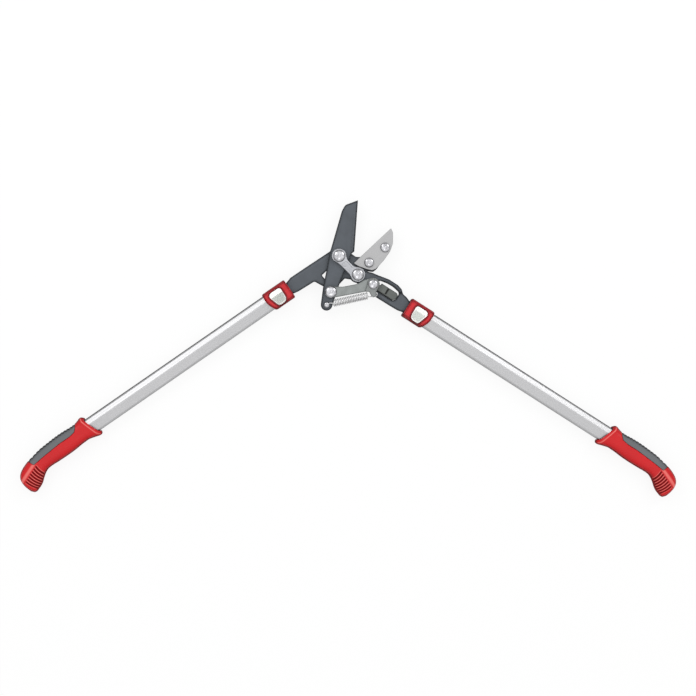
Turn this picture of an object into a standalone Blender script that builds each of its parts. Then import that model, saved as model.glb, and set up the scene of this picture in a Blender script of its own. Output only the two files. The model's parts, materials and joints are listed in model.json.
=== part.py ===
"""Compound anvil lopper with telescopic handles, lying on its back with both handles open.

The plan is drawn in millimetres from the blade's pivot, with X to the right and Y away from the
grips, and heights are measured up from the floor. Meshes are made in metres.
"""

import math

import bmesh
import bpy
from mathutils import Vector

MM = 0.001

# General fits
GAP = 0.3
FIT = 0.3
CHAMFER = 0.5

# The linkage, as plan points from the blade's pivot
PIVOT = Vector((0.0, 0.0))
HINGE = Vector((27.0, -26.9))
TAIL_PIN = Vector((-11.9, -51.9))
SPRING_PIN = Vector((-18.0, -70.3))
DRIVE_REACH = 26.0
PEG_FROM_DRIVE = Vector((0.5, -14.8))

# The arms' directions, in degrees from +X
RIGHT_ANGLE = -32.65
LEFT_ANGLE = 214.6
LEFT_OFFSET = 3.1

# Heights and thicknesses
ARM_HEIGHT = 12.5
LEVER_THICK = 6.0
BLADE_THICK = 5.0
ANVIL_THICK = 6.0
BRIDGE_THICK = 4.5
DRIVE_THICK = 4.0
PAWL_THICK = 2.5
HUB_THICK = 5.0

# Distances along an arm from its pivot
COLLAR_FACE = 85.3
COLLAR_LENGTH = 39.2
TANG_LENGTH = 44.0
GRIP_START = 428.0
TUBE_IN_GRIP = 60.0
INNER_TUBE_LENGTH = 300.0
EXTENSION = 250.0

# Tube: shift of its axis towards the other handle, half width, height at the ridge, and walls
TUBE_SHIFT = 0.8
TUBE_HALF_WIDTH = 12.5
RIDGE_SHIFT = -2.8
RIDGE_HEIGHT = 9.0
OUTER_WALL = 1.4
INNER_WALL = 1.0
TANG_HALF_WIDTH = 7.4

# Collar and lock button
COLLAR_HALF_WIDTH = 15.1
COLLAR_HALF_HEIGHT = 12.5
COLLAR_CROWN = 1.05
LIP = 2.6
NECK_HALF_WIDTH = 9.2
BUTTON_PLACE = 21.2
BUTTON_THICK = 2.3
BUTTON_TRAVEL = 2.0
BUTTON_PROUD = 0.4
LOCK_PIN_RADIUS = 2.0
LOCK_PIN_REACH = 4.0

# Grip
PAD_THICK = 1.4
PAD_START = 21.5
PAD_END = 100.5

# Fasteners: shank and head radii
BOLT_SHANK = 4.0
BOLT_HEAD = 8.8
BOLT_DOME = 4.0
LINK_SHANK = 3.5
LINK_HEAD = 8.4
DRIVE_SHANK = 3.0
DRIVE_HEAD = 7.1
DRIVE_SLACK = 3.6
SPRING_SHANK = 2.2
SPRING_HEAD = 4.0
ANVIL_SHANK = 2.5
ANVIL_HEAD = 7.0
NUT_RADIUS = 7.6
NUT_THICK = 4.2
BOLT_END = 0.8
TANG_RIVET = 2.0
RACK_RIVET = 1.6

# Ends of the links and bosses
PIVOT_BOSS = 13.0
HINGE_BOSS = 11.5
HUB_RADIUS = 10.8
BRIDGE_END = 10.6
TAIL_END = 8.8
DRIVE_END = 9.7
PAWL_HUB = 8.8
TAIL_RADIUS = 8.3

# Blade and anvil: distances of the cutting edge and the anvil's face from the pivot
EDGE_OFFSET = 21.75
EDGE_ANGLE = 85.75
EDGE_START = 8.3
EDGE_END = 82.6
EDGE_BEVEL = 5.0
EDGE_LAND = 0.6
FACE_ANGLE = 43.1
ANVIL_SCREW_LINE = 14.6
ANVIL_SCREWS_AT = (25.3, 57.3)

# Return spring
WIRE_RADIUS = 0.8
COIL_RADIUS = 4.7
CURLS = 21
POINTS_PER_CURL = 9
COIL_START = 10.0
COIL_END = 8.6
LOOP_RADIUS = 3.3
PEG_LOOP_LONG = 4.9
PEG_LOOP_WIDE = 3.2
PEG_LOOP_SHIFT = 0.8
PEG_RADIUS = 1.3
COIL_LIFT = COIL_RADIUS + 0.2

# Materials: colour, roughness, metallic
MATERIALS = {
    "coated_steel": ((0.115, 0.122, 0.135), 0.42, 0.6),
    "anvil_alloy": ((0.45, 0.45, 0.46), 0.38, 0.9),
    "cast_link": ((0.42, 0.43, 0.45), 0.35, 0.9),
    "bright_steel": ((0.75, 0.75, 0.77), 0.18, 1.0),
    "rack_steel": ((0.20, 0.20, 0.17), 0.45, 0.8),
    "aluminium_tube": ((0.62, 0.62, 0.63), 0.32, 0.9),
    "red_plastic": ((0.62, 0.035, 0.045), 0.38, 0.0),
    "silver_plastic": ((0.62, 0.63, 0.60), 0.35, 0.3),
    "grey_rubber": ((0.16, 0.17, 0.18), 0.65, 0.0),
    "black_plastic": ((0.03, 0.03, 0.03), 0.5, 0.0),
}


def unit(degrees):
    return Vector((math.cos(math.radians(degrees)), math.sin(math.radians(degrees))))


def turned_right(direction):
    return Vector((direction.y, -direction.x))


def arc(centre, radius, start, end, steps):
    """Points on a circle from start to end, in degrees."""
    centre = Vector(centre)
    return [centre + unit(start + (end - start) * i / steps) * radius for i in range(steps + 1)]


def circle(centre, radius, sides):
    return arc(centre, radius, 0, 360, sides)[:-1]


def rounded(corners, steps=4):
    """A closed outline whose corners (x, y, radius) are filleted; no radius leaves a corner sharp."""
    outline = []
    count = len(corners)
    for index, corner in enumerate(corners):
        here = Vector(corner[:2])
        radius = corner[2] if len(corner) > 2 else 0.0
        before = (Vector(corners[index - 1][:2]) - here).normalized()
        after = (Vector(corners[(index + 1) % count][:2]) - here).normalized()
        half = before.angle(after) / 2
        if radius <= 0 or half > math.radians(88):
            outline.append(here)
            continue
        reach = radius / math.tan(half)
        middle = here + (before + after).normalized() * (radius / math.sin(half))
        first = here + before * reach - middle
        last = here + after * reach - middle
        sweep = first.angle_signed(last)
        for step in range(steps + 1):
            turn = -sweep * step / steps
            cos, sin = math.cos(turn), math.sin(turn)
            outline.append(middle + Vector((first.x * cos - first.y * sin, first.x * sin + first.y * cos)))
    return outline


def signed_area(outline):
    following = outline[1:] + outline[:1]
    return sum(a.x * b.y - b.x * a.y for a, b in zip(outline, following)) / 2


def inset(outline, distances):
    """The counter-clockwise outline moved inwards; distances holds one value for each edge."""
    moved = []
    count = len(outline)
    for index, here in enumerate(outline):
        edge_in = (here - outline[index - 1]).normalized()
        edge_out = (outline[(index + 1) % count] - here).normalized()
        normal_in = Vector((-edge_in.y, edge_in.x))
        normal_out = Vector((-edge_out.y, edge_out.x))
        d_in, d_out = distances[index - 1], distances[index]
        cross = edge_in.x * edge_out.y - edge_in.y * edge_out.x
        if abs(cross) < 0.02:
            moved.append(here + (normal_in + normal_out).normalized() * (d_in + d_out) / 2)
            continue
        along = (d_in * normal_in.dot(normal_out) - d_out) / -cross
        moved.append(here + normal_in * d_in + edge_in * -along)
    return moved


class Body:
    """An empty on a joint's axis that carries the pieces of one moving body."""

    def __init__(self, name, pivot, parent=None):
        self.pivot = Vector(pivot)
        self.empty = bpy.data.objects.new("axis_" + name, None)
        bpy.context.scene.collection.objects.link(self.empty)
        start = parent.pivot if parent else Vector((0, 0, 0))
        self.empty.parent = parent.empty if parent else None
        self.empty.location = (self.pivot - start) * MM


def material_of(name):
    if name in bpy.data.materials:
        return bpy.data.materials[name]
    colour, roughness, metallic = MATERIALS[name]
    material = bpy.data.materials.new(name)
    material.use_nodes = True
    shader = material.node_tree.nodes["Principled BSDF"]
    shader.inputs["Base Color"].default_value = (*colour, 1.0)
    shader.inputs["Roughness"].default_value = roughness
    shader.inputs["Metallic"].default_value = metallic
    return material


def make_object(name, body, material, points, faces, sharp=35):
    """A mesh object from plan points in millimetres, placed under its body's axis."""
    mesh = bpy.data.meshes.new(name)
    mesh.from_pydata([(Vector(p) - body.pivot) * MM for p in points], [], faces)
    working = bmesh.new()
    working.from_mesh(mesh)
    bmesh.ops.recalc_face_normals(working, faces=working.faces)
    working.to_mesh(mesh)
    working.free()
    mesh.shade_smooth()
    for face in mesh.polygons:
        face.use_smooth = len(face.vertices) < 5
    mesh.set_sharp_from_angle(angle=math.radians(sharp))
    placed = bpy.data.objects.new(name, mesh)
    placed.parent = body.empty
    bpy.context.scene.collection.objects.link(placed)
    if material:
        mesh.materials.append(material_of(material))
    return placed


def ring_faces(rings, count, closed):
    """Quads between rings of equal count; a ring of one point is a pole."""
    faces = []
    starts = []
    total = 0
    for ring in rings:
        starts.append(total)
        total += len(ring)
    pairs = list(zip(range(len(rings)), range(1, len(rings))))
    if closed:
        pairs.append((len(rings) - 1, 0))
    for low, high in pairs:
        for i in range(count):
            j = (i + 1) % count
            if len(rings[low]) == 1:
                faces.append((starts[low], starts[high] + j, starts[high] + i))
            elif len(rings[high]) == 1:
                faces.append((starts[low] + i, starts[low] + j, starts[high]))
            else:
                faces.append((starts[low] + i, starts[low] + j, starts[high] + j, starts[high] + i))
    if not closed:
        if len(rings[0]) > 1:
            faces.append(tuple(starts[0] + i for i in reversed(range(count))))
        if len(rings[-1]) > 1:
            faces.append(tuple(starts[-1] + i for i in range(count)))
    return faces


def loft(name, body, material, rings, closed=False, sharp=35):
    count = max(len(ring) for ring in rings)
    points = [point for ring in rings for point in ring]
    return make_object(name, body, material, points, ring_faces(rings, count, closed), sharp)


def plate(name, body, material, outline, low, high, chamfer=CHAMFER, edges=None):
    """A flat plate with chamfered rims; edges gives some edges their own (inset, depth)."""
    if signed_area(outline) < 0:
        outline = outline[::-1]
    count = len(outline)
    distances = [chamfer] * count
    depths = [chamfer] * count
    for index, (wide, deep) in (edges or {}).items():
        distances[index] = wide
        depths[index] = deep
        depths[(index + 1) % count] = deep
    rims = inset(outline, distances)
    rings = [
        [(p.x, p.y, low) for p in rims],
        [(p.x, p.y, low + d) for p, d in zip(outline, depths)],
        [(p.x, p.y, high - d) for p, d in zip(outline, depths)],
        [(p.x, p.y, high) for p in rims],
    ]
    return loft(name, body, material, rings)


def cutter(name, body, outlines):
    """One hidden mesh of separate prisms (outline, low, high) for a Boolean to cut away."""
    points, faces = [], []
    for outline, low, high in outlines:
        first = len(points)
        rings = [[(p[0], p[1], z) for p in outline] for z in (low, high)]
        points += rings[0] + rings[1]
        faces += [tuple(first + i for i in face) for face in ring_faces(rings, len(outline), False)]
    hidden = make_object(name, body, None, points, faces)
    hidden.hide_render = True
    hidden.display_type = "WIRE"
    return hidden


def combine(target, other, operation):
    modifier = target.modifiers.new(other.name, "BOOLEAN")
    modifier.object = other
    modifier.operation = operation
    modifier.solver = "EXACT"


def cut(target, body, outlines):
    combine(target, cutter(target.name + "_cutter", body, outlines), "DIFFERENCE")


def bolt(name, body, material, centre, profile, sides=24):
    """A piece turned about a vertical line; a profile point is (radius, height, star depth)."""
    rings = []
    for entry in profile:
        radius, height = entry[:2]
        star = entry[2] if len(entry) > 2 else 0.0
        if radius == 0:
            rings.append([(centre[0], centre[1], height)])
            continue
        ring = []
        for i in range(sides):
            angle = 2 * math.pi * i / sides
            reach = radius - star * (i % 4 == 0) - star * 0.5 * (i % 2 == 1)
            ring.append((centre[0] + reach * math.cos(angle), centre[1] + reach * math.sin(angle), height))
        rings.append(ring)
    return loft(name, body, material, rings)


def bolt_profile(shank, head, bottom, seat, dome, socket):
    """Shank, domed head and star socket of a bolt, from its bottom end up."""
    return [
        (0, bottom),
        (shank - CHAMFER, bottom),
        (shank, bottom + CHAMFER),
        (shank, seat),
        (head, seat),
        (head, seat + dome * 0.30),
        (head * 0.93, seat + dome * 0.58),
        (head * 0.78, seat + dome * 0.83),
        (head * 0.52, seat + dome),
        (socket, seat + dome, socket * 0.22),
        (socket, seat + dome * 0.45, socket * 0.22),
        (0, seat + dome * 0.40),
    ]


# Heights of the stacked pieces
LEVER_LOW = ARM_HEIGHT - LEVER_THICK / 2
LEVER_TOP = ARM_HEIGHT + LEVER_THICK / 2
BLADE_LOW = LEVER_TOP + GAP
BLADE_TOP = BLADE_LOW + BLADE_THICK
HUB_TOP = BLADE_LOW + HUB_THICK
LINK_LOW = max(BLADE_TOP, HUB_TOP) + GAP
BRIDGE_TOP = LINK_LOW + BRIDGE_THICK
DRIVE_TOP = LINK_LOW + DRIVE_THICK
PAWL_LOW = DRIVE_TOP + GAP
PAWL_TOP = PAWL_LOW + PAWL_THICK
ARM_PLATE_TOP = LEVER_TOP + 0.5
ANVIL_TOP = BLADE_LOW + ANVIL_THICK
LOOP_HEIGHT = LINK_LOW + WIRE_RADIUS
PIN_LOW = BLADE_LOW + 0.2


class Arm:
    """Plan frame of a handle: s runs out along it from the pivot, t towards the other handle."""

    def __init__(self, side, foot, angle, inner_sign):
        self.side = side
        self.along = unit(angle)
        self.inner = turned_right(self.along) * inner_sign
        self.foot = Vector(foot)

    def plan(self, s, t):
        return self.foot + self.along * s + self.inner * t

    def point(self, s, t, height):
        spot = self.plan(s, t)
        return (spot.x, spot.y, ARM_HEIGHT + height)


def arm_corners(arm, corners):
    """Corners (s, t, radius) of an arm's frame as plan corners."""
    return [(*arm.plan(corner[0], corner[1]), *corner[2:]) for corner in corners]


RIGHT = Arm("right", HINGE, RIGHT_ANGLE, 1)
LEFT_INNER = turned_right(unit(LEFT_ANGLE)) * -1
LEFT = Arm("left", PIVOT - LEFT_INNER * LEFT_OFFSET, LEFT_ANGLE, -1)
LEFT_HANDLE = Arm("left", LEFT.plan(0, TUBE_SHIFT), LEFT_ANGLE, -1)
RIGHT_HANDLE = Arm("right", RIGHT.plan(0, TUBE_SHIFT), RIGHT_ANGLE, 1)
DRIVE_PIN = RIGHT.plan(DRIVE_REACH, 0)
PEG = DRIVE_PIN + PEG_FROM_DRIVE

EDGE_ALONG = unit(EDGE_ANGLE)
EDGE_OUT = turned_right(EDGE_ALONG)
FACE_ALONG = unit(FACE_ANGLE)
FACE_OUT = turned_right(FACE_ALONG)
FACE_OFFSET = EDGE_OFFSET + GAP


def on_edge(a, b):
    return EDGE_ALONG * a + EDGE_OUT * b


def on_face(a, b):
    return FACE_ALONG * a + FACE_OUT * b


def tube_section(offset):
    """The tube's outline in (t, height), moved inwards by offset; the ridge lies off centre."""
    wide = TUBE_HALF_WIDTH
    shoulder = RIDGE_HEIGHT - 2.5
    front = [
        (wide, shoulder - 3.8),
        (wide - 0.4, shoulder - 2.2),
        (wide - 1.5, shoulder - 0.9),
        (wide - 3.1, shoulder - 0.2),
        (RIDGE_SHIFT + 0.8, RIDGE_HEIGHT - 0.18),
        (RIDGE_SHIFT - 0.8, RIDGE_HEIGHT - 0.18),
        (-wide + 2.9, shoulder),
        (-wide + 1.3, shoulder - 0.8),
        (-wide + 0.3, shoulder - 2.2),
        (-wide, shoulder - 3.8),
    ]
    outline = [Vector(p) for p in front] + [Vector((t, -h)) for t, h in reversed(front)]
    return inset(outline, [offset] * len(outline))


def section_reach(section, angle):
    """Distance from the middle to the section's outline in one direction."""
    ray = Vector((math.cos(angle), math.sin(angle)))
    for a, b in zip(section, section[1:] + section[:1]):
        edge = b - a
        cross = ray.x * edge.y - ray.y * edge.x
        if abs(cross) < 1e-9:
            continue
        distance = (a.x * edge.y - a.y * edge.x) / cross
        share = (a.x * ray.y - a.y * ray.x) / cross
        if distance > 0 and -1e-6 <= share <= 1 + 1e-6:
            return distance
    return section[0].length


def section_height(section, t):
    """Height of the section's front at t."""
    for a, b in zip(section, section[1:] + section[:1]):
        if a.y > 0 and b.y > 0 and min(a.x, b.x) <= t <= max(a.x, b.x):
            return a.y + (b.y - a.y) * (t - a.x) / (b.x - a.x)
    return section[0].y


OUTER_BORE = OUTER_WALL
INNER_SKIN = OUTER_WALL + FIT
INNER_BORE = INNER_SKIN + INNER_WALL
BUTTON_TOP = COLLAR_HALF_HEIGHT + BUTTON_PROUD
BUTTON_LOW = BUTTON_TOP - BUTTON_THICK
BUTTON_S = COLLAR_FACE + BUTTON_PLACE
TUBE_START = COLLAR_FACE + LIP + GAP
INNER_START = COLLAR_FACE + 0.2
INNER_END = INNER_START + INNER_TUBE_LENGTH
TUBE_END = GRIP_START + TUBE_IN_GRIP


def make_bodies():
    high = ARM_HEIGHT
    root = Body("anvil_side", (*PIVOT, high))
    blade = Body("blade", (*PIVOT, high), root)
    link = Body("drive_link", (*TAIL_PIN, high), blade)
    pawl = Body("pawl", (*DRIVE_PIN, high), link)
    spring = Body("return_spring", (*SPRING_PIN, high), blade)
    lever = Body("ratchet_side", (*HINGE, high), root)
    bodies = {
        "anvil_side": root,
        "blade": blade,
        "drive_link": link,
        "pawl": pawl,
        "return_spring": spring,
        "ratchet_side": lever,
    }
    for arm, carrier in ((LEFT_HANDLE, root), (RIGHT_HANDLE, lever)):
        handle = Body(arm.side + "_handle", arm.point(COLLAR_FACE, 0, 0), carrier)
        bodies[arm.side + "_handle"] = handle
        bodies[arm.side + "_button"] = Body(arm.side + "_button", arm.point(BUTTON_S, 0, 0), handle)
    return bodies


def make_anvil_lever(body):
    """Forged lever of the left handle: tang, neck, both pivot bosses and the anvil's carrier."""
    setback = FACE_OFFSET + 1.2
    start = arm_corners(LEFT_HANDLE, tang_corners()) + arm_corners(LEFT, [(COLLAR_FACE - 9.0, 11.6, 6.0)])
    lobe = [(-35.2, -36.3, 3.0), (-22.9, -43.1), (-12.5, -47.3, 5.0), (1.5, -39.6, 3.0), (8.6, -32.0, 3.0)]
    around = arc(HINGE, HINGE_BOSS, 215, 375, 12)
    rim = [on_face(a, b).to_tuple() + (r,) for a, b, r in (
        (16.0, 44.5, 4.0), (21.0, 50.6, 4.0), (27.0, 51.0, 4.0), (43.5, 47.9, 12.0),
        (58.5, 44.6, 10.0), (68.8, 39.0, 8.0), (78.6, 28.4, 3.0), (80.2, setback, 1.0),
        (24.0, setback, 1.5), (20.6, 20.6, 1.0), (17.6, 17.4, 2.0), (16.0, 10.0, 2.0))]
    top = [(13.5, 9.5, 3.0)] + [p.to_tuple() for p in arc(PIVOT, PIVOT_BOSS, 62, 123.5, 6)]
    neck = [(-58.0, -22.8)] + arm_corners(LEFT, [(COLLAR_FACE - 10.0, -11.2, 7.0)])
    corners = start + lobe + [p.to_tuple() for p in around] + rim + top + neck
    lever = plate("anvil_lever", body, "coated_steel", rounded(corners, 3), LEVER_LOW, LEVER_TOP)
    window = rounded([(-24.8, -27.6, 1.5), (-19.5, -33.5, 1.5), (-11.5, -33.5, 2.5), (-9.0, -22.0, 2.5), (-15.5, -19.0, 2.0)], 3)
    below, above = LEVER_LOW - 1, LEVER_TOP + 1
    holes = [(window, below, above)]
    for centre in (PIVOT, HINGE):
        holes.append((circle(centre, BOLT_SHANK + FIT, 24), below, above))
    for a in ANVIL_SCREWS_AT:
        holes.append((circle(on_face(a, FACE_OFFSET + ANVIL_SCREW_LINE), ANVIL_SHANK + FIT, 16), below, above))
    for s in tang_rivet_places():
        holes.append((circle(LEFT_HANDLE.plan(s, RIVET_SHIFT), TANG_RIVET + FIT, 16), below, above))
    cut(lever, body, holes)


RIVET_SHIFT = 4.2


def tang_rivet_places():
    return (COLLAR_FACE + 10.0, COLLAR_FACE + 36.0)


def tang_corners():
    """A lever's tang and its shoulders at the collar, in the tube's frame from the outer side."""
    neck, end = COLLAR_FACE - GAP, COLLAR_FACE + TANG_LENGTH
    half = [(neck, NECK_HALF_WIDTH, 1.0), (neck, TANG_HALF_WIDTH, 0.3), (end, TANG_HALF_WIDTH, 1.5)]
    return [(s, -t, radius) for s, t, radius in half] + half[::-1]


def make_anvil(body):
    """Soft alloy plate that the blade closes on, held by two domed screws."""
    corners = [on_face(a, b).to_tuple() + (r,) for a, b, r in (
        (EDGE_START, FACE_OFFSET, 0.9), (82.8, FACE_OFFSET, 0.9), (80.4, 28.6, 5.0), (69.6, 40.0, 12.0),
        (58.8, 45.6, 14.0), (43.3, 48.9, 14.0), (26.4, 49.9, 5.0), (21.0, 47.8, 5.0), (16.2, 40.8, 10.0),
        (10.6, 30.5, 10.0))]
    anvil = plate("anvil_plate", body, "anvil_alloy", rounded(corners, 4), BLADE_LOW, ANVIL_TOP)
    spots = [on_face(a, FACE_OFFSET + ANVIL_SCREW_LINE) for a in ANVIL_SCREWS_AT]
    cut(anvil, body, [(circle(p, ANVIL_SHANK + FIT, 16), BLADE_LOW - 1, ANVIL_TOP + 1) for p in spots])
    profile = bolt_profile(ANVIL_SHANK, ANVIL_HEAD, LEVER_LOW + 0.4, ANVIL_TOP + GAP, 3.0, 2.2)
    turned_set("anvil_screw", body, "bright_steel", [(p, profile) for p in spots], 20)


def turned_set(name, body, material, pieces, sides):
    """Equal turned pieces, each its own object with a number in its name."""
    for number, (centre, profile) in enumerate(pieces, 1):
        bolt("%s_%d" % (name, number), body, material, centre, profile, sides)


def make_blade(body):
    """Coated blade with its tail; the straight right side is ground to the cutting edge."""
    tail = arc(SPRING_PIN, TAIL_RADIUS, 170, 345, 10)
    corners = [p.to_tuple() for p in tail]
    corners += [(-7.4, -64.5, 4.0), (0.4, -41.1, 6.0), (7.8, -23.0), (16.2, -2.4, 4.0), (18.6, 3.9, 1.0)]
    corners += [on_edge(EDGE_START, EDGE_OFFSET).to_tuple(), on_edge(EDGE_END, EDGE_OFFSET).to_tuple()]
    corners += [on_edge(74.4, 4.0).to_tuple() + (6.0,), on_edge(66.0, -0.2).to_tuple() + (20.0,)]
    corners += [(-11.0, 12.0, 8.0), (-14.0, 2.8, 12.0), (-18.0, -20.5), (-23.2, -46.3)]
    outline = rounded(corners, 3)
    if signed_area(outline) < 0:
        outline = outline[::-1]
    tip = on_edge(EDGE_END, EDGE_OFFSET)
    heel = on_edge(EDGE_START, EDGE_OFFSET)
    at = min(range(len(outline)), key=lambda i: (outline[i] - heel).length)
    assert (outline[(at + 1) % len(outline)] - tip).length < 0.01
    depth = (BLADE_THICK - EDGE_LAND) / 2
    blade = plate("blade", body, "coated_steel", outline, BLADE_LOW, BLADE_TOP, 0.4, {at: (EDGE_BEVEL, depth)})
    below, above = BLADE_LOW - 1, BLADE_TOP + 1
    cut(blade, body, [
        (circle(PIVOT, BOLT_SHANK + FIT, 24), below, above),
        (circle(TAIL_PIN, LINK_SHANK + FIT, 20), below, above),
        (circle(SPRING_PIN, SPRING_SHANK + FIT, 16), below, above),
    ])


def link_frame(start, end):
    along = (end - start).normalized()
    left = Vector((-along.y, along.x))
    return lambda a, b: start + along * a + left * b


def make_bridge(body):
    """Cast link over both pivots: two round ends, a waist and a sunk panel."""
    length = (HINGE - PIVOT).length
    place = link_frame(PIVOT, HINGE)
    base = math.degrees(math.atan2(HINGE.y - PIVOT.y, HINGE.x - PIVOT.x))
    corners = [p.to_tuple() for p in arc(PIVOT, BRIDGE_END, base + 42, base + 258, 16)]
    corners += [place(8.5, -8.2).to_tuple() + (12.0,), place(length - 9.5, -8.2).to_tuple() + (12.0,)]
    corners += [p.to_tuple() for p in arc(HINGE, BRIDGE_END, base - 112, base + 128, 16)]
    corners += [place(length - 12.0, 4.4).to_tuple() + (9.0,), place(14.0, 4.1).to_tuple() + (9.0,)]
    bridge = plate("bridge_link", body, "cast_link", rounded(corners, 3), LINK_LOW, BRIDGE_TOP, 0.7)
    panel = rounded([(*place(10.5, -5.6), 1.5), (*place(length - 11.5, -5.6), 1.5),
                     (*place(length - 12.5, 1.6), 1.5), (*place(12.0, 2.0), 1.5)], 3)
    below, above = LINK_LOW - 1, BRIDGE_TOP + 1
    cut(bridge, body, [
        (circle(PIVOT, BOLT_SHANK + FIT, 24), below, above),
        (circle(HINGE, BOLT_SHANK + FIT, 24), below, above),
        (panel, BRIDGE_TOP - 1.0, above),
    ])


def make_main_bolts(body):
    for label, centre in (("pivot", PIVOT), ("lever", HINGE)):
        profile = bolt_profile(BOLT_SHANK, BOLT_HEAD, LEVER_LOW - GAP - NUT_THICK - BOLT_END,
                               BRIDGE_TOP + GAP, BOLT_DOME, 2.6)
        bolt(label + "_bolt", body, "bright_steel", centre, profile)
        low = LEVER_LOW - GAP - NUT_THICK
        nut = plate(label + "_nut", body, "bright_steel", circle(centre, NUT_RADIUS, 6), low, low + NUT_THICK, 0.6)
        cut(nut, body, [(circle(centre, BOLT_SHANK + FIT, 24), low - 1, low + NUT_THICK + 1)])


def make_drive_link(body):
    """Link from the blade's tail to the drive pin."""
    place = link_frame(TAIL_PIN, DRIVE_PIN)
    length = (DRIVE_PIN - TAIL_PIN).length
    base = math.degrees(math.atan2(DRIVE_PIN.y - TAIL_PIN.y, DRIVE_PIN.x - TAIL_PIN.x))
    corners = [p.to_tuple() for p in arc(TAIL_PIN, TAIL_END, base + 55, base + 262, 14)]
    corners += [place(length - 10.0, -8.4).to_tuple() + (6.0,)]
    corners += [p.to_tuple() for p in arc(DRIVE_PIN, DRIVE_END, base - 75, base + 108, 14)]
    corners += [place(length - 12.5, 8.4).to_tuple() + (5.0,), place(length - 22.0, 4.6).to_tuple() + (8.0,)]
    corners += [place(18.0, 4.4).to_tuple() + (12.0,)]
    link = plate("drive_link", body, "cast_link", rounded(corners, 3), LINK_LOW, DRIVE_TOP, 0.6)
    cut(link, body, [
        (circle(TAIL_PIN, LINK_SHANK + FIT, 20), LINK_LOW - 1, DRIVE_TOP + 1),
        (circle(DRIVE_PIN, DRIVE_SHANK + FIT, 20), LINK_LOW - 1, DRIVE_TOP + 1),
    ])


def make_pins(blade, link):
    profile = bolt_profile(LINK_SHANK, LINK_HEAD, PIN_LOW, DRIVE_TOP + GAP, 3.4, 2.6)
    bolt("link_rivet", blade, "bright_steel", TAIL_PIN, profile)
    profile = bolt_profile(DRIVE_SHANK, DRIVE_HEAD, PIN_LOW, PAWL_TOP + GAP, 3.0, 2.2)
    bolt("drive_pin", link, "bright_steel", DRIVE_PIN, profile)
    seat = LOOP_HEIGHT + WIRE_RADIUS + GAP
    profile = bolt_profile(SPRING_SHANK, SPRING_HEAD, PIN_LOW, seat, 2.2, 1.3)
    bolt("spring_screw", blade, "bright_steel", SPRING_PIN, profile, 20)


def make_pawl(body):
    """Hooked piece on the drive pin: round hub, a wing to the left and a tail with a peg."""
    hub = [p.to_tuple() for p in arc(DRIVE_PIN, PAWL_HUB, -20, 185, 12)]
    shape = [(-12.0, -10.6, 1.0), (-5.8, -10.9, 2.0), (-2.6, -17.0, 1.5), (0.4, -19.0, 2.0), (4.2, -17.1, 1.5),
             (4.4, -11.5, 2.0)]
    corners = hub + [(DRIVE_PIN.x + x, DRIVE_PIN.y + y, r) for x, y, r in shape]
    pawl = plate("ratchet_pawl", body, "cast_link", rounded(corners, 3), PAWL_LOW, PAWL_TOP)
    cut(pawl, body, [(circle(DRIVE_PIN, DRIVE_SHANK + FIT, 20), PAWL_LOW - 1, PAWL_TOP + 1)])
    peg = cutter("ratchet_pawl_peg", body, [(circle(PEG, PEG_RADIUS, 16), LINK_LOW, PAWL_LOW + 1)])
    combine(pawl, peg, "UNION")


def spring_points():
    """Centre line of the spring: loop on the screw, curls, and a wider loop on the peg."""
    run = PEG - SPRING_PIN
    length = run.length
    ahead = run.normalized()
    side = Vector((-ahead.y, ahead.x))
    axis_height = LOOP_HEIGHT + COIL_LIFT

    def at(distance, across, height):
        spot = SPRING_PIN + ahead * distance + side * across
        return Vector((spot.x, spot.y, height))

    points = []
    for i in range(10):
        angle = math.radians(310 - 280 * i / 9)
        points.append(at(LOOP_RADIUS * math.cos(angle), LOOP_RADIUS * math.sin(angle), LOOP_HEIGHT))
    first, last = COIL_START, length - COIL_END
    points.append(at(first - 3.0, 1.2, LOOP_HEIGHT))
    steps = CURLS * POINTS_PER_CURL
    for i in range(steps + 1):
        turn = 2 * math.pi * i / POINTS_PER_CURL + math.pi
        here = first + (last - first) * i / steps
        points.append(at(here, COIL_RADIUS * math.sin(turn), axis_height + COIL_RADIUS * math.cos(turn)))
    points.append(at(last + 1.8, -2.2, LOOP_HEIGHT))
    middle = length + PEG_LOOP_SHIFT
    for i in range(11):
        angle = math.radians(225 + 295 * i / 10)
        points.append(at(middle + PEG_LOOP_LONG * math.cos(angle), PEG_LOOP_WIDE * math.sin(angle), LOOP_HEIGHT))
    return points


def least_gap(points):
    """Smallest free space between stretches of the wire that lie a half curl or more apart."""
    least = math.inf
    apart = POINTS_PER_CURL // 2 + 1
    for i, a in enumerate(points):
        for b in points[i + apart:i + 3 * POINTS_PER_CURL]:
            least = min(least, (a - b).length)
    return least - 2 * WIRE_RADIUS


def make_spring(body):
    points = spring_points()
    print("least gap of the spring's wire to itself: %.2f mm" % least_gap(points))
    curve = bpy.data.curves.new("return_spring", "CURVE")
    curve.dimensions = "3D"
    curve.bevel_depth = WIRE_RADIUS * MM
    curve.bevel_resolution = 1
    curve.use_fill_caps = True
    line = curve.splines.new("POLY")
    line.points.add(len(points) - 1)
    for spot, point in zip(line.points, points):
        spot.co = (*((point - body.pivot) * MM), 1.0)
    curve.materials.append(material_of("bright_steel"))
    placed = bpy.data.objects.new("return_spring", curve)
    placed.parent = body.empty
    bpy.context.scene.collection.objects.link(placed)


STRAP_OUTER = [(26.0, -15.8, 6.0), (42.2, -19.2, 12.0), (57.6, -19.2, 10.0), (65.6, -16.8, 6.0), (70.2, -12.6, 2.0)]
STRAP_INNER = [(64.1, -11.2, 3.0), (58.9, -12.4, 6.0), (52.0, -13.4, 12.0), (43.0, -13.0, 12.0), (34.0, -11.2, 12.0)]
WINDOW_END = 65.8
WINDOW_SIDE = 4.0


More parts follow.
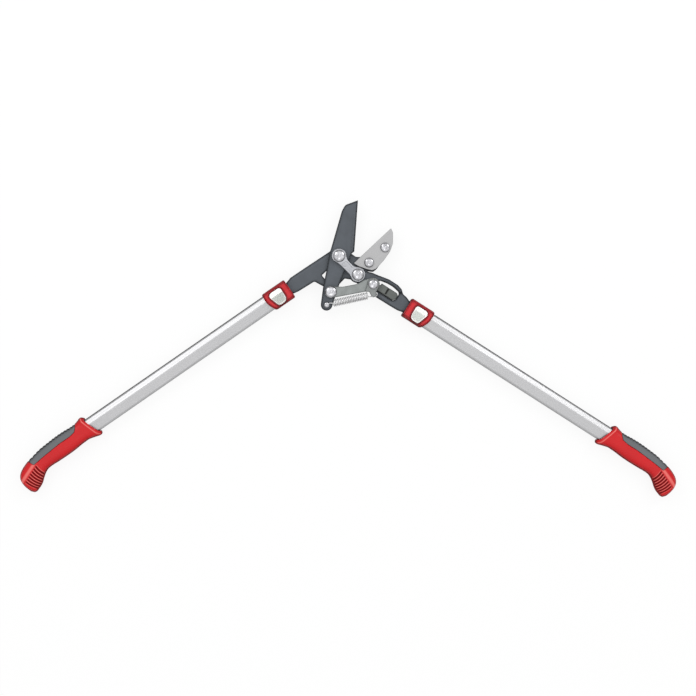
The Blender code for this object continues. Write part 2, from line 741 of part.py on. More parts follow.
def make_ratchet_lever(body):
    """Forged lever of the right handle: a thin arm plate behind and a hub plate with the strap."""
    arm = arm_corners(RIGHT, [
        (27.0, WINDOW_SIDE, 0.0), (27.0, 7.0, 1.0), (33.0, 12.7, 3.0), (62.5, 12.4, 8.0),
        (COLLAR_FACE - 9.0, 11.9, 5.0)])
    arm += arm_corners(RIGHT_HANDLE, tang_corners()[::-1])
    arm += arm_corners(RIGHT, [(COLLAR_FACE - 9.0, -11.4, 5.0), (72.5, -11.8, 3.0)]
        + STRAP_OUTER[::-1] + [(24.0, -15.2, 1.0), (24.0, -9.6, 1.0)] + STRAP_INNER[::-1]
        + [(WINDOW_END, -8.5, 2.0), (WINDOW_END, 1.0, 3.0), (62.0, WINDOW_SIDE, 2.0)])
    lever = plate("ratchet_lever", body, "coated_steel", rounded(arm, 3), LEVER_LOW, ARM_PLATE_TOP, 0.4)
    slim = 0.4
    strap = [(s, t + slim, r) for s, t, r in STRAP_OUTER[:-1]] + [(69.2, -12.8, 1.0), (66.4, -11.2 - slim, 1.0)]
    strap += [(s, t - slim, r) for s, t, r in STRAP_INNER]
    hub = [(s, t) for s, t in (Vector((0, 0)) + unit(a) * HUB_RADIUS for a in range(90, 271, 15))]
    front = arm_corners(RIGHT, hub + [(10.0, -11.6, 4.0), (17.0, -14.0, 5.0)] + strap
                        + [(30.6, -8.8, 1.5), (30.6, WINDOW_SIDE + slim, 0.5), (33.6, WINDOW_SIDE + slim, 0.5),
                           (33.4, 8.6, 1.5), (28.0, 10.8, 3.0), (12.0, 11.0, 4.0)])
    plate_front = plate("ratchet_lever_hub", body, None, rounded(front, 3), BLADE_LOW, HUB_TOP, 0.4)
    plate_front.hide_render = True
    plate_front.display_type = "WIRE"
    combine(lever, plate_front, "UNION")
    below, above = LEVER_LOW - 1, HUB_TOP + 1
    holes = [(circle(HINGE, BOLT_SHANK + FIT, 24), below, above),
             (circle(DRIVE_PIN, DRIVE_SHANK + DRIVE_SLACK, 24), below, above)]
    for s in RACK_RIVETS_AT:
        ring = circle(RIGHT.plan(s, RACK_RIVET_LINE), RACK_RIVET + FIT, 16)
        holes.append((ring, below, LEVER_LOW + RACK_RIVET_DEPTH + GAP))
    for s in tang_rivet_places():
        holes.append((circle(RIGHT_HANDLE.plan(s, RIVET_SHIFT), TANG_RIVET + FIT, 16), below, above))
    cut(lever, body, holes)


RACK_TOP = 17.6
RACK_EDGE = -8.4
RACK_START = 33.2
RACK_RIVETS_AT = (41.0, 57.0)
RACK_RIVET_LINE = 8.0
RACK_RIVET_DEPTH = 4.2
RACK_FOOT = 2.4
RACK_SLOT = 48.8
RACK_SLOT_DEPTH = 3.2


def make_rack(body):
    """Toothed block in the window, with a foot under the arm plate that two rivets hold."""
    end = WINDOW_END - GAP
    side = WINDOW_SIDE - GAP
    block = arm_corners(RIGHT, [
        (RACK_START, side, 0.5), (RACK_START, -3.0, 0.5), (36.4, RACK_EDGE + 2.2, 0.5), (36.4, RACK_EDGE, 0.5),
        (63.0, RACK_EDGE, 1.5), (end, -5.5, 1.5), (end, 0.8, 2.6),
        (61.9, side, 2.0)])
    rack = plate("ratchet_rack", body, "rack_steel", rounded(block, 2), LEVER_LOW - 1.0, RACK_TOP, 0.3)
    foot_top = LEVER_LOW - GAP
    foot = cutter("ratchet_rack_foot", body, [
        (rounded(arm_corners(RIGHT, [(36.0, 1.0, 1.0), (62.0, 1.0, 1.0), (62.0, 11.4, 1.0), (36.0, 11.4, 1.0)]), 2),
         foot_top - RACK_FOOT, foot_top)])
    combine(rack, foot, "UNION")
    spots = [RIGHT.plan(s, RACK_RIVET_LINE) for s in RACK_RIVETS_AT]
    slot = arm_corners(RIGHT, [(RACK_SLOT - 0.9, RACK_EDGE - 1), (RACK_SLOT + 0.9, RACK_EDGE - 1),
                               (RACK_SLOT + 0.9, 1.4), (RACK_SLOT - 0.9, 1.4)])
    cuts = [(circle(p, RACK_RIVET + FIT, 16), foot_top - RACK_FOOT - 1, foot_top + 0.15) for p in spots]
    cut(rack, body, cuts + [(slot, RACK_TOP - RACK_SLOT_DEPTH, RACK_TOP + 1)])
    low = foot_top - RACK_FOOT - GAP
    profile = [(0, low - 1.2), (2.4, low - 1.2), (3.0, low - 0.6), (3.0, low), (RACK_RIVET, low),
               (RACK_RIVET, LEVER_LOW + RACK_RIVET_DEPTH), (0, LEVER_LOW + RACK_RIVET_DEPTH)]
    turned_set("rack_rivet", body, "bright_steel", [(p, profile) for p in spots], 16)


def tube_ring(arm, section, s):
    return [arm.point(s, p.x, p.y) for p in section]


def make_inner_tube(arm, body):
    """Telescopic tube on the lever's tang, with the lock pin's slot along its ridge."""
    outer, bore = tube_section(INNER_SKIN), tube_section(INNER_BORE)
    rings = [tube_ring(arm, outer, INNER_START), tube_ring(arm, outer, INNER_END),
             tube_ring(arm, bore, INNER_END), tube_ring(arm, bore, INNER_START)]
    name = arm.side + "_inner_tube"
    tube = loft(name, body, "aluminium_tube", rings, closed=True)
    half = LOCK_PIN_RADIUS + 0.6
    reach = LOCK_PIN_RADIUS + 2.0
    slot = rounded(arm_corners(arm, [
        (BUTTON_S - reach, RIDGE_SHIFT - half, half * 0.9), (BUTTON_S + EXTENSION + reach, RIDGE_SHIFT - half, half * 0.9),
        (BUTTON_S + EXTENSION + reach, RIDGE_SHIFT + half, half * 0.9), (BUTTON_S - reach, RIDGE_SHIFT + half, half * 0.9)]), 3)
    top = ARM_HEIGHT + RIDGE_HEIGHT
    cuts = [(slot, ARM_HEIGHT + 4.8, top)]
    for s in tang_rivet_places():
        ring = circle(arm.plan(s, RIVET_SHIFT), TANG_RIVET + FIT, 16)
        cuts.append((ring, ARM_HEIGHT - RIDGE_HEIGHT, top))
    cut(tube, body, cuts)
    reach = section_height(bore, RIVET_SHIFT) + INNER_WALL * 0.6
    profile = [(0, ARM_HEIGHT - reach), (TANG_RIVET, ARM_HEIGHT - reach), (TANG_RIVET, ARM_HEIGHT + reach),
               (0, ARM_HEIGHT + reach)]
    spots = [arm.plan(s, RIVET_SHIFT) for s in tang_rivet_places()]
    turned_set(arm.side + "_tube_rivet", body, "bright_steel", [(p, profile) for p in spots], 16)
    wide, narrow = tube_section(OUTER_BORE + FIT), tube_section(INNER_BORE + FIT)
    rings = [tube_ring(arm, narrow, INNER_END - 12.0), tube_ring(arm, narrow, INNER_END + GAP),
             tube_ring(arm, wide, INNER_END + GAP), tube_ring(arm, wide, INNER_END + 9.0)]
    loft(arm.side + "_glide_bush", body, "black_plastic", rings)


def button_corners(grow):
    """Rounded trapezoid of the button in (s, t), grown by a clearance."""
    return [(BUTTON_S - 10.6 - grow, -9.8 - grow, 4.0 + grow), (BUTTON_S + 11.6 + grow, -9.8 - grow, 5.0 + grow),
            (BUTTON_S + 5.4 + grow, 12.3 + grow, 5.0 + grow), (BUTTON_S - 9.8 - grow, 12.3 + grow, 6.5 + grow)]


def make_handle(arm, body, button_body):
    """Outer tube, collar with its window, lock button, grip and soft pad of one handle."""
    outer, bore = tube_section(0), tube_section(OUTER_BORE)
    rings = [tube_ring(arm, outer, TUBE_START), tube_ring(arm, outer, TUBE_END),
             tube_ring(arm, bore, TUBE_END), tube_ring(arm, bore, TUBE_START)]
    tube = loft(arm.side + "_outer_tube", body, "aluminium_tube", rings, closed=True)
    opening = rounded(arm_corners(arm, button_corners(0.5)), 3)
    pressed = ARM_HEIGHT + BUTTON_LOW - BUTTON_TRAVEL - GAP
    cut(tube, body, [(opening, pressed, ARM_HEIGHT + RIDGE_HEIGHT + 1)])
    hole = circle(arm.plan(BUTTON_S, RIDGE_SHIFT), LOCK_PIN_RADIUS + 2 * FIT, 16)
    pin_hole = cutter(arm.side + "_outer_tube_pin_hole", body, [(hole, ARM_HEIGHT + 3.5, ARM_HEIGHT + RIDGE_HEIGHT + 1)])
    combine(tube, pin_hole, "DIFFERENCE")
    make_collar(arm, body)
    outline = rounded(arm_corners(arm, button_corners(0)), 4)
    low, high = ARM_HEIGHT + BUTTON_LOW, ARM_HEIGHT + BUTTON_TOP
    button = plate(arm.side + "_lock_button", button_body, "silver_plastic", outline, low, high, 0.4)
    pin = cutter(arm.side + "_lock_pin", button_body, [
        (circle(arm.plan(BUTTON_S, RIDGE_SHIFT), LOCK_PIN_RADIUS, 16), low - LOCK_PIN_REACH, low + 1)])
    combine(button, pin, "UNION")
    make_grip(arm, body)


def collar_far(t):
    """The collar's far end: a shallow arc that runs further on the outer side."""
    return COLLAR_FACE + COLLAR_LENGTH - 7.0 * ((t + 4.0) / 19.0) ** 2


def make_collar(arm, body):
    seat, lip = tube_section(-FIT), tube_section(INNER_SKIN - FIT)
    corner = math.atan2(COLLAR_HALF_HEIGHT, COLLAR_HALF_WIDTH)
    extra = [corner - 0.09, corner + 0.09, math.pi / 2, 0.0]
    extra += [math.pi - a for a in extra[:2]] + [-a for a in extra[:3]] + [a - math.pi for a in extra[:2]] + [math.pi]
    angles = sorted([math.atan2(p.y, p.x) for p in seat] + extra)

    def outside(shrink):
        ring = []
        for angle in angles:
            flat = (COLLAR_HALF_HEIGHT - shrink) / max(abs(math.sin(angle)), 0.01)
            round_reach = superellipse(COLLAR_HALF_WIDTH - shrink, COLLAR_HALF_HEIGHT * COLLAR_CROWN, 5.0, angle)
            reach = min(flat, round_reach)
            ring.append((reach * math.cos(angle), reach * math.sin(angle)))
        return ring

    def inside(section):
        return [(section_reach(section, a) * math.cos(a), section_reach(section, a) * math.sin(a)) for a in angles]

    def at(ring, place):
        return [arm.point(place(t) if callable(place) else place, t, h) for t, h in ring]

    rings = [at(outside(1.0), COLLAR_FACE), at(outside(0), COLLAR_FACE + 1.2),
             at(outside(0), lambda t: collar_far(t) - 1.2), at(outside(1.0), collar_far),
             at(inside(seat), collar_far), at(inside(seat), COLLAR_FACE + LIP),
             at(inside(lip), COLLAR_FACE + LIP), at(inside(lip), COLLAR_FACE)]
    collar = loft(arm.side + "_collar", body, "red_plastic", rings, closed=True)
    opening = rounded(arm_corners(arm, button_corners(GAP)), 4)
    cut(collar, body, [(opening, ARM_HEIGHT + 2.0, ARM_HEIGHT + COLLAR_HALF_HEIGHT + 1)])


def superellipse(wide, high, power, angle):
    cos, sin = abs(math.cos(angle)), abs(math.sin(angle))
    return ((cos / wide) ** power + (sin / high) ** power) ** (-1 / power)


# Grip stations: distance from the grip's start, shift and half width across, half height, tilt
GRIP_STATIONS = [
    (0.0, -0.1, 15.4, 11.6, 19.5),
    (2.2, -0.1, 18.8, 12.5, 18.5),
    (5.8, 0.0, 19.4, 12.5, 17),
    (10.5, -0.3, 17.6, 12.2, 14),
    (19.0, -0.8, 15.1, 12.1, 9),
    (24.0, -0.7, 14.9, 12.1, 5),
    (29.0, -0.6, 14.9, 12.2, 2),
    (40.0, -0.5, 15.8, 12.3, 0),
    (54.0, -0.4, 16.1, 12.4, 0),
    (70.0, -0.1, 15.5, 12.4, 0),
    (83.0, 0.3, 14.7, 12.4, 5),
    (92.2, 1.8, 14.3, 12.4, 15),
    (101.0, 4.4, 15.3, 12.5, 26),
    (109.0, 8.4, 16.5, 12.5, 33),
    (115.5, 13.1, 17.0, 12.2, 34),
    (120.4, 17.5, 15.5, 11.5, 35),
    (123.2, 21.4, 12.6, 10.2, 35),
    (124.3, 24.9, 9.6, 8.4, 36),
    (124.8, 27.8, 6.6, 6.0, 38),
    (125.0, 30.0, 3.4, 3.2, 42),
]
# The pad's edge across the grip at distances from the grip's start
PAD_EDGES = [(PAD_START, -11.2), (24.0, -8.4), (29.0, -5.4), (40.0, -4.5), (54.0, -4.7), (70.0, -3.4),
             (83.0, -2.3), (PAD_END, -0.4)]
GRIP_POWER = 2.6
PAD_POINTS = 9
BODY_POINTS = 18


def grip_station(s):
    """Shift, half width, half height and tilt of the grip at a distance from its start."""
    for low, high in zip(GRIP_STATIONS, GRIP_STATIONS[1:]):
        if low[0] <= s <= high[0]:
            share = (s - low[0]) / (high[0] - low[0])
            return tuple(a + (b - a) * share for a, b in zip(low[1:], high[1:]))
    return GRIP_STATIONS[-1][1:]


def pad_edge(s):
    for low, high in zip(PAD_EDGES, PAD_EDGES[1:]):
        if low[0] <= s <= high[0]:
            return low[1] + (high[1] - low[1]) * (s - low[0]) / (high[0] - low[0])
    return PAD_EDGES[0 if s < PAD_START else -1][1]


def pad_angle(s):
    """Angle on the section at which the pad's edge lies, measured from the inner side."""
    shift, wide, high, tilt = grip_station(s)
    low, top = math.pi / 2, math.pi
    for _ in range(30):
        middle = (low + top) / 2
        across = superellipse(wide, high, GRIP_POWER, middle) * math.cos(middle)
        t = shift + across * math.cos(math.radians(tilt))
        low, top = (middle, top) if t > pad_edge(s) else (low, middle)
    return low


def grip_ring(arm, s, sunk, only_pad=False):
    """One section of the grip; sunk is how deep the pad's stretch lies under the full surface."""
    shift, wide, high, tilt = grip_station(s)
    edge = pad_angle(s)
    step = GAP / wide
    pad = [edge + (2 * math.pi - 2 * edge) * i / (PAD_POINTS - 1) for i in range(PAD_POINTS)]
    rest = [-edge + step + (2 * edge - 2 * step) * i / (BODY_POINTS - 1) for i in range(BODY_POINTS)]
    lean = math.radians(tilt)
    ring = []
    for angle, depth in [(a, sunk) for a in pad] + ([] if only_pad else [(a, 0.0) for a in rest]):
        reach = superellipse(wide, high, GRIP_POWER, angle) - depth
        across, up = reach * math.cos(angle), reach * math.sin(angle)
        ring.append(arm.point(GRIP_START + s - across * math.sin(lean), shift + across * math.cos(lean), up))
    return ring


def make_grip(arm, body):
    """Red grip with the tube's bore, and the soft pad let into its outer side."""
    deep = PAD_THICK + GAP
    places = [station[0] for station in GRIP_STATIONS]
    rings = []
    for s in reversed(places):
        if s > PAD_END:
            rings.append(grip_ring(arm, s, 0))
    rings += [grip_ring(arm, PAD_END, 0), grip_ring(arm, PAD_END - GAP / 2, deep)]
    for s in reversed(places):
        if PAD_START < s < PAD_END:
            rings.append(grip_ring(arm, s, deep))
    rings += [grip_ring(arm, PAD_START + GAP / 2, deep), grip_ring(arm, PAD_START, 0)]
    for s in reversed(places):
        if s < PAD_START:
            rings.append(grip_ring(arm, s, 0))
    section = tube_section(-2 * FIT)
    shift, wide, high, tilt = grip_station(0.0)
    edge = pad_angle(0.0)
    step = GAP / wide
    angles = [edge + (2 * math.pi - 2 * edge) * i / (PAD_POINTS - 1) for i in range(PAD_POINTS)]
    angles += [-edge + step + (2 * edge - 2 * step) * i / (BODY_POINTS - 1) for i in range(BODY_POINTS)]
    lean = math.tan(math.radians(tilt))
    mouth, floor = [], []
    for angle in angles:
        reach = section_reach(section, angle)
        t, up = reach * math.cos(angle), reach * math.sin(angle)
        mouth.append(arm.point(GRIP_START + 1.5 - (t - shift) * lean, t, up))
        floor.append(arm.point(TUBE_END + GAP, t, up))
    rings += [mouth, floor]
    loft(arm.side + "_grip", body, "red_plastic", rings, sharp=50)
    stops = [PAD_START + GAP] + [s for s in places if PAD_START + 1 < s < PAD_END - 1] + [PAD_END - GAP]
    pad = []
    for s in stops:
        ring = grip_ring(arm, s, 0, True) + grip_ring(arm, s, PAD_THICK, True)[::-1]
        pad.append(ring)
    loft(arm.side + "_grip_pad", body, "grey_rubber", pad, sharp=50)


def centre_on_origin(root):
    """Moves the model so that the middle of its footprint is the origin."""
    bpy.context.view_layer.update()
    graph = bpy.context.evaluated_depsgraph_get()
    corners = []
    for item in bpy.context.scene.objects:
        if item.type in ("MESH", "CURVE") and not item.hide_render:
            shape = item.evaluated_get(graph)
            mesh = shape.to_mesh()
            corners += [shape.matrix_world @ v.co for v in mesh.vertices]
            shape.to_mesh_clear()
    low = [min(c[i] for c in corners) for i in range(3)]
    high = [max(c[i] for c in corners) for i in range(3)]
    root.empty.location.x -= (low[0] + high[0]) / 2
    root.empty.location.y -= (low[1] + high[1]) / 2
    root.empty.location.z -= low[2]
    bpy.context.view_layer.update()
    print("size in mm:", [round((b - a) / MM, 2) for a, b in zip(low, high)])


def main():
    for old in list(bpy.data.objects):
        bpy.data.objects.remove(old)
    bodies = make_bodies()
    make_anvil_lever(bodies["anvil_side"])
    make_anvil(bodies["anvil_side"])
    make_bridge(bodies["anvil_side"])
    make_main_bolts(bodies["anvil_side"])
    make_blade(bodies["blade"])
    make_drive_link(bodies["drive_link"])
    make_pins(bodies["blade"], bodies["drive_link"])
    make_pawl(bodies["pawl"])
    make_spring(bodies["return_spring"])
    make_ratchet_lever(bodies["ratchet_side"])
    make_rack(bodies["ratchet_side"])
    make_inner_tube(LEFT_HANDLE, bodies["anvil_side"])
    make_inner_tube(RIGHT_HANDLE, bodies["ratchet_side"])
    for arm in (LEFT_HANDLE, RIGHT_HANDLE):
        make_handle(arm, bodies[arm.side + "_handle"], bodies[arm.side + "_button"])
    centre_on_origin(bodies["anvil_side"])
    for name, body in bodies.items():
        print(name, [round(v, 5) for v in body.empty.matrix_world.translation])


main()
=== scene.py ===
import json
import math

import bmesh
import bpy
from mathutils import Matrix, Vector


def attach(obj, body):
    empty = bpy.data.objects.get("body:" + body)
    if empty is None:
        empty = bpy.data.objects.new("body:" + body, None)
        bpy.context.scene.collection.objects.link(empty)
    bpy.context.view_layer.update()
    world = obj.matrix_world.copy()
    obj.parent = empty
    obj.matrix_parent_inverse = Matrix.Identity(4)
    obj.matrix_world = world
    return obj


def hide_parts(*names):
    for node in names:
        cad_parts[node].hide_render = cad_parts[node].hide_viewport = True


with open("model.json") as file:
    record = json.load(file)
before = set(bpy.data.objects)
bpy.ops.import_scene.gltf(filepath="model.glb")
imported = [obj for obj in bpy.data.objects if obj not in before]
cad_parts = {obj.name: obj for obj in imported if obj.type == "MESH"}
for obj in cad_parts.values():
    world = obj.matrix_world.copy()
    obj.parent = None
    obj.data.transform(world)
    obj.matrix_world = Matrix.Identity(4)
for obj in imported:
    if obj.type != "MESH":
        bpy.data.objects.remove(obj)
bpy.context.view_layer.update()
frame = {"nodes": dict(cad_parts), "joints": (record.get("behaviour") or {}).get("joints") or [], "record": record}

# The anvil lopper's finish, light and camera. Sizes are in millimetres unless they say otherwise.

MM = 0.001
UP = Vector((0, 0, 1))

# The camera: lens, sensor, place from the blade's pivot and above the floor, and turn in degrees.
# The left handle looks 2 % longer than the right one in the photograph, so the camera stands
# a little to the left and leans with it.
LENS = 85.0
SENSOR_WIDTH = 36.0
CAMERA_FROM_PIVOT = (-123.94, -130.56, 2388.91)
CAMERA_TURN = (-0.04, -3.30, -0.185)

# Places along an arm
COLLAR_END = 124.5
GRIP_START = 428.0
TUBE_END = 488.0

# Shifts across an arm, and heights
LEFT_OFFSET = 3.1
TUBE_SHIFT = 0.8
RIDGE_SHIFT = -2.8
ARM_HEIGHT = 12.5
RACK_TOP = 17.5

# Section of the handle tube: half its width, and half its height at the shoulder and at the ridge
TUBE_HALF_WIDTH = 12.5
TUBE_SHOULDER = 6.5
TUBE_RIDGE = 9.0

# The collar's far end: where across it the arc runs furthest, and how far it falls back over a run
# to either side
COLLAR_FURTHEST = -4.0
COLLAR_INNER_RUN = 19.0
COLLAR_OUTER_RUN = 11.0
COLLAR_INNER_FALL = 7.0
COLLAR_OUTER_FALL = 1.2
COLLAR_CHAMFER = 1.2

# Points as far behind the solid's end as the face band lie on its end face, and those from there to
# the chamfer band where the chamfer starts. The cuts across give the arc its points.
COLLAR_SLACK = 0.1
COLLAR_FACE_BAND = 0.9
COLLAR_CHAMFER_BAND = 2.0
COLLAR_CUTS = range(-14, 16)

# The lock button's top: how high its ridge rises, how its facets fall to a millimetre, and how far
# below the highest point its points still count as the top
BUTTON_RISE = 0.5
BUTTON_OUTER_FALL = 0.27
BUTTON_INNER_FALL = 0.15
BUTTON_TOP = 0.8

# Rounding of the dressed pieces' edges
FORGED_EDGE = 0.35
BLADE_EDGE = 0.3
CAST_EDGE = 0.5
BRIDGE_EDGE = 0.9
PLATE_EDGE = 0.4
RACK_EDGE = 0.2
TURNED_EDGE = 0.12
TUBE_EDGE = 0.1
MOULDED_EDGE = 0.6
BUTTON_EDGE = 0.3

# Angles in degrees: where an edge counts as sharp, in general, on faceted pieces and on lofts, and
# below which faces are joined
SHARP_ANGLE = 28.0
FACET_ANGLE = 8.0
LOFT_ANGLE = 50.0
FLAT_ANGLE = 0.4

# Distances in metres within which points are welded, and points count as lying on a cut
WELD_DISTANCE = 0.000002
CUT_DISTANCE = 0.00001

joints = {joint["name"]: joint for joint in frame["joints"]}
PIVOT = Vector(joints["blade_swing"]["pos_m"]) / MM
HINGE = Vector(joints["lever_swing"]["pos_m"]) / MM


class Arm:
    """Frame of a handle: s runs out along it, t towards the other handle, z up from its middle."""

    def __init__(self, side, start, sign, offset):
        self.side = side
        self.along = Vector(joints[side + "_extend"]["axis"]).normalized()
        self.inner = Vector((self.along.y, -self.along.x, 0)) * sign
        self.outer = tuple(-self.inner)
        self.turn = math.degrees(math.atan2(self.along.y, self.along.x))
        self.foot = Vector((start.x, start.y, ARM_HEIGHT)) + self.inner * (TUBE_SHIFT - offset)

    def at(self, s, t, z):
        return (self.foot + self.along * s + self.inner * t + UP * z) * MM


ARMS = (Arm("left", PIVOT, -1, LEFT_OFFSET), Arm("right", HINGE, 1, 0.0))


# Materials

# Most of a noise texture's values lie between these
NOISE_LOW = 0.3
NOISE_HIGH = 0.7

# Pointiness is 0.5 on a flat face: where the lighter edge, partly wear and partly painted highlight, starts and
# where it is full
WEAR_AND_HIGHLIGHT_START = 0.52
WEAR_AND_HIGHLIGHT_FULL = 0.60

# Cosine between the face and its rounded normal, at an edge and away from it
EDGE_COSINE = 0.93
OPEN_COSINE = 0.997

# Sockets of a Mix node that mixes colours
MIX_FACTOR, MIX_FIRST, MIX_LAST, MIX_RESULT = 0, 6, 7, 2


def maths(nodes, links, operation, first, second=None):
    """A maths node on a socket, and on a second socket or a number."""
    node = nodes.new("ShaderNodeMath")
    node.operation = operation
    links.new(first, node.inputs[0])
    if isinstance(second, float):
        node.inputs[1].default_value = second
    elif second is not None:
        links.new(second, node.inputs[1])
    return node.outputs["Value"]


def mapped(nodes, links, source, low, high, first, last):
    """Maps a value between low and high onto two numbers."""
    node = nodes.new("ShaderNodeMapRange")
    for label, value in (("From Min", low), ("From Max", high), ("To Min", first), ("To Max", last)):
        node.inputs[label].default_value = value
    links.new(source, node.inputs["Value"])
    return node.outputs["Result"]


class Shader:
    """A Principled material, painted coat over coat."""

    def __init__(self, name, colour, metallic, shine=0.5):
        self.material = bpy.data.materials.new(name)
        self.material.use_nodes = True
        self.nodes = self.material.node_tree.nodes
        self.links = self.material.node_tree.links
        self.surface = self.nodes["Principled BSDF"]
        self.surface.inputs["Metallic"].default_value = metallic
        self.surface.inputs["Specular IOR Level"].default_value = shine
        self.place = self.nodes.new("ShaderNodeTexCoord").outputs["Object"]
        self.colour = colour
        self.coat = None
        self.bumps = None

    def noise(self, scale, detail=4.0, stretch=None, turn=0.0):
        """Noise over the piece; stretch draws it out along a direction turned about Z, in degrees."""
        place = self.place
        if stretch:
            mapping = self.nodes.new("ShaderNodeMapping")
            mapping.vector_type = "TEXTURE"
            mapping.inputs["Rotation"].default_value = (0, 0, math.radians(turn))
            mapping.inputs["Scale"].default_value = (stretch, 1, 1)
            self.links.new(place, mapping.inputs["Vector"])
            place = mapping.outputs["Vector"]
        texture = self.nodes.new("ShaderNodeTexNoise")
        texture.inputs["Scale"].default_value = scale
        texture.inputs["Detail"].default_value = detail
        self.links.new(place, texture.inputs["Vector"])
        return texture.outputs["Fac"]

    def ramp(self, source, low, high, first, last):
        return mapped(self.nodes, self.links, source, low, high, first, last)

    def spread(self, noise, first=0.0, last=1.0):
        """Spreads a noise texture's usual values between two numbers."""
        return self.ramp(noise, NOISE_LOW, NOISE_HIGH, first, last)

    def mix(self, factor, first, last):
        """Mixes two colours; either may be a socket."""
        mixed = self.nodes.new("ShaderNodeMix")
        mixed.data_type = "RGBA"
        self.links.new(factor, mixed.inputs[MIX_FACTOR])
        for socket, value in ((mixed.inputs[MIX_FIRST], first), (mixed.inputs[MIX_LAST], last)):
            if isinstance(value, tuple):
                socket.default_value = (*value, 1.0)
            else:
                self.links.new(value, socket)
        return mixed.outputs[MIX_RESULT]

    def tone(self, share):
        """The colour made darker or lighter."""
        return tuple(min(1.0, c * share) for c in self.colour)

    def ground(self, factor, dark, light):
        """The first coat: two tones of the colour."""
        self.coat = self.mix(factor, self.tone(dark), self.tone(light))

    def paint(self, mask, colour):
        """Another coat where a mask stands; the colour may be a tone's share."""
        self.coat = self.mix(mask, self.coat, self.tone(colour) if isinstance(colour, float) else colour)

    def wear_and_highlight(self, amount, brighter):
        """Lightens edges by how sharply the surface bends there: partly rubbed wear, partly a painted highlight.
        """
        geometry = self.nodes.new("ShaderNodeNewGeometry")
        self.paint(self.ramp(geometry.outputs["Pointiness"], WEAR_AND_HIGHLIGHT_START, WEAR_AND_HIGHLIGHT_FULL, 0.0, amount), brighter)

    def steep(self, amount, flat=0.72, wall=0.25):
        """How far the surface stands on edge, from 0 on the flat to the amount on a side wall."""
        geometry = self.nodes.new("ShaderNodeNewGeometry")
        parts = self.nodes.new("ShaderNodeSeparateXYZ")
        self.links.new(geometry.outputs["Normal"], parts.inputs["Vector"])
        height = maths(self.nodes, self.links, "ABSOLUTE", parts.outputs["Z"])
        return self.ramp(height, wall, flat, amount, 0.0)

    def marked(self, label, low, high, amount):
        """How far a value that the mesh's points carry has risen from low to high."""
        mark = self.nodes.new("ShaderNodeAttribute")
        mark.attribute_name = label
        return self.ramp(mark.outputs["Fac"], low, high, 0.0, amount)

    def cosine(self, direction):
        """The cosine between the surface and a direction, which is a tuple or a socket."""
        geometry = self.nodes.new("ShaderNodeNewGeometry")
        turned = self.nodes.new("ShaderNodeVectorMath")
        turned.operation = "DOT_PRODUCT"
        self.links.new(geometry.outputs["Normal"], turned.inputs[0])
        if isinstance(direction, tuple):
            turned.inputs[1].default_value = direction
        else:
            self.links.new(direction, turned.inputs[1])
        return turned.outputs["Value"]

    def near_edge(self, radius, amount):
        """How near a sharp edge lies, from 0 at the radius to the amount at the edge."""
        rounded = self.nodes.new("ShaderNodeBevel")
        rounded.samples = 6
        rounded.inputs["Radius"].default_value = radius * MM
        return self.ramp(self.cosine(rounded.outputs["Normal"]), EDGE_COSINE, OPEN_COSINE, amount, 0.0)

    def facing(self, direction, low, high, amount):
        """How far the surface faces a direction, as its cosine rises from low to high."""
        return self.ramp(self.cosine(direction), low, high, 0.0, amount)

    def sunk(self, level, fall, amount):
        """How far the surface lies below a height, reaching the amount at the fall."""
        parts = self.nodes.new("ShaderNodeSeparateXYZ")
        self.links.new(self.place, parts.inputs["Vector"])
        return self.ramp(parts.outputs["Z"], (level - fall) * MM, level * MM, amount, 0.0)

    def dull(self, rough, masks):
        """The roughness, raised where the masks stand, so that edges and grooves darkened by painted shade stay
        dull.
        """
        for mask in masks:
            rough = maths(self.nodes, self.links, "MAXIMUM", rough, mask)
        return rough

    def bump(self, source, strength, distance):
        """Relief over the relief that is there; the distance is in metres."""
        node = self.nodes.new("ShaderNodeBump")
        node.inputs["Strength"].default_value = strength
        node.inputs["Distance"].default_value = distance
        self.links.new(source, node.inputs["Height"])
        if self.bumps:
            self.links.new(self.bumps, node.inputs["Normal"])
        self.bumps = node.outputs["Normal"]

    def finish(self, rough):
        self.links.new(self.coat, self.surface.inputs["Base Color"])
        self.links.new(rough, self.surface.inputs["Roughness"])
        self.links.new(self.bumps, self.surface.inputs["Normal"])
        return self.material


def coated(name, colour, metallic, shine):
    """Dark non-stick coating over ground steel: faint mottling, a fine grain, edges lightened partly by wear and
    partly as a painted highlight, and painted shade that makes side walls and edges nearly black.
    """
    shader = Shader(name, colour, metallic, shine)
    cloud = shader.noise(55, 5)
    grain = shader.noise(2600, 2)
    shader.ground(shader.spread(cloud), 0.86, 1.12)
    shader.wear_and_highlight(0.3, 1.6)
    # Painted shade: the side walls and a band along the edges turn nearly black
    side_shading, edge_shade = shader.steep(0.9), shader.near_edge(5.2, 0.97)
    shader.paint(side_shading, 0.08)
    shader.paint(edge_shade, 0.06)
    shader.bump(grain, 0.18, 0.00006)
    return shader.finish(shader.dull(shader.spread(cloud, 0.40, 0.52), [side_shading, edge_shade]))


def brushed(name, colour, metallic, rough, stretch, turn, side_shading=0.35, depth=0.10, outer=None):
    """Metal brushed or ground one way: streaks along it and painted shade on its side walls.

    Outer is a direction: the shoulder on that side carries a dark line of painted shade, and the wall below it
    none.
    """
    shader = Shader(name, colour, metallic)
    streak = shader.noise(900, 3, stretch, turn)
    cloud = shader.noise(40, 4)
    shader.ground(shader.spread(streak), 0.95, 1.04)
    shader.paint(shader.ramp(cloud, 0.35, 0.75, 0.0, 0.35), 0.93)
    # Painted shade on the steep side walls
    shader.paint(shader.steep(0.9, 0.80, 0.35), side_shading)
    if outer:
        wall = shader.coat
        # Painted shade: a dark line on the outer shoulder, then the wall below gets its colour back
        shader.paint(shader.facing(outer, 0.38, 0.50, 0.97), 0.05)
        shader.paint(shader.facing(outer, 0.92, 0.98, 1.0), wall)
    shader.bump(streak, depth, 0.00004)
    return shader.finish(shader.spread(streak, rough * 0.9, rough * 1.15))


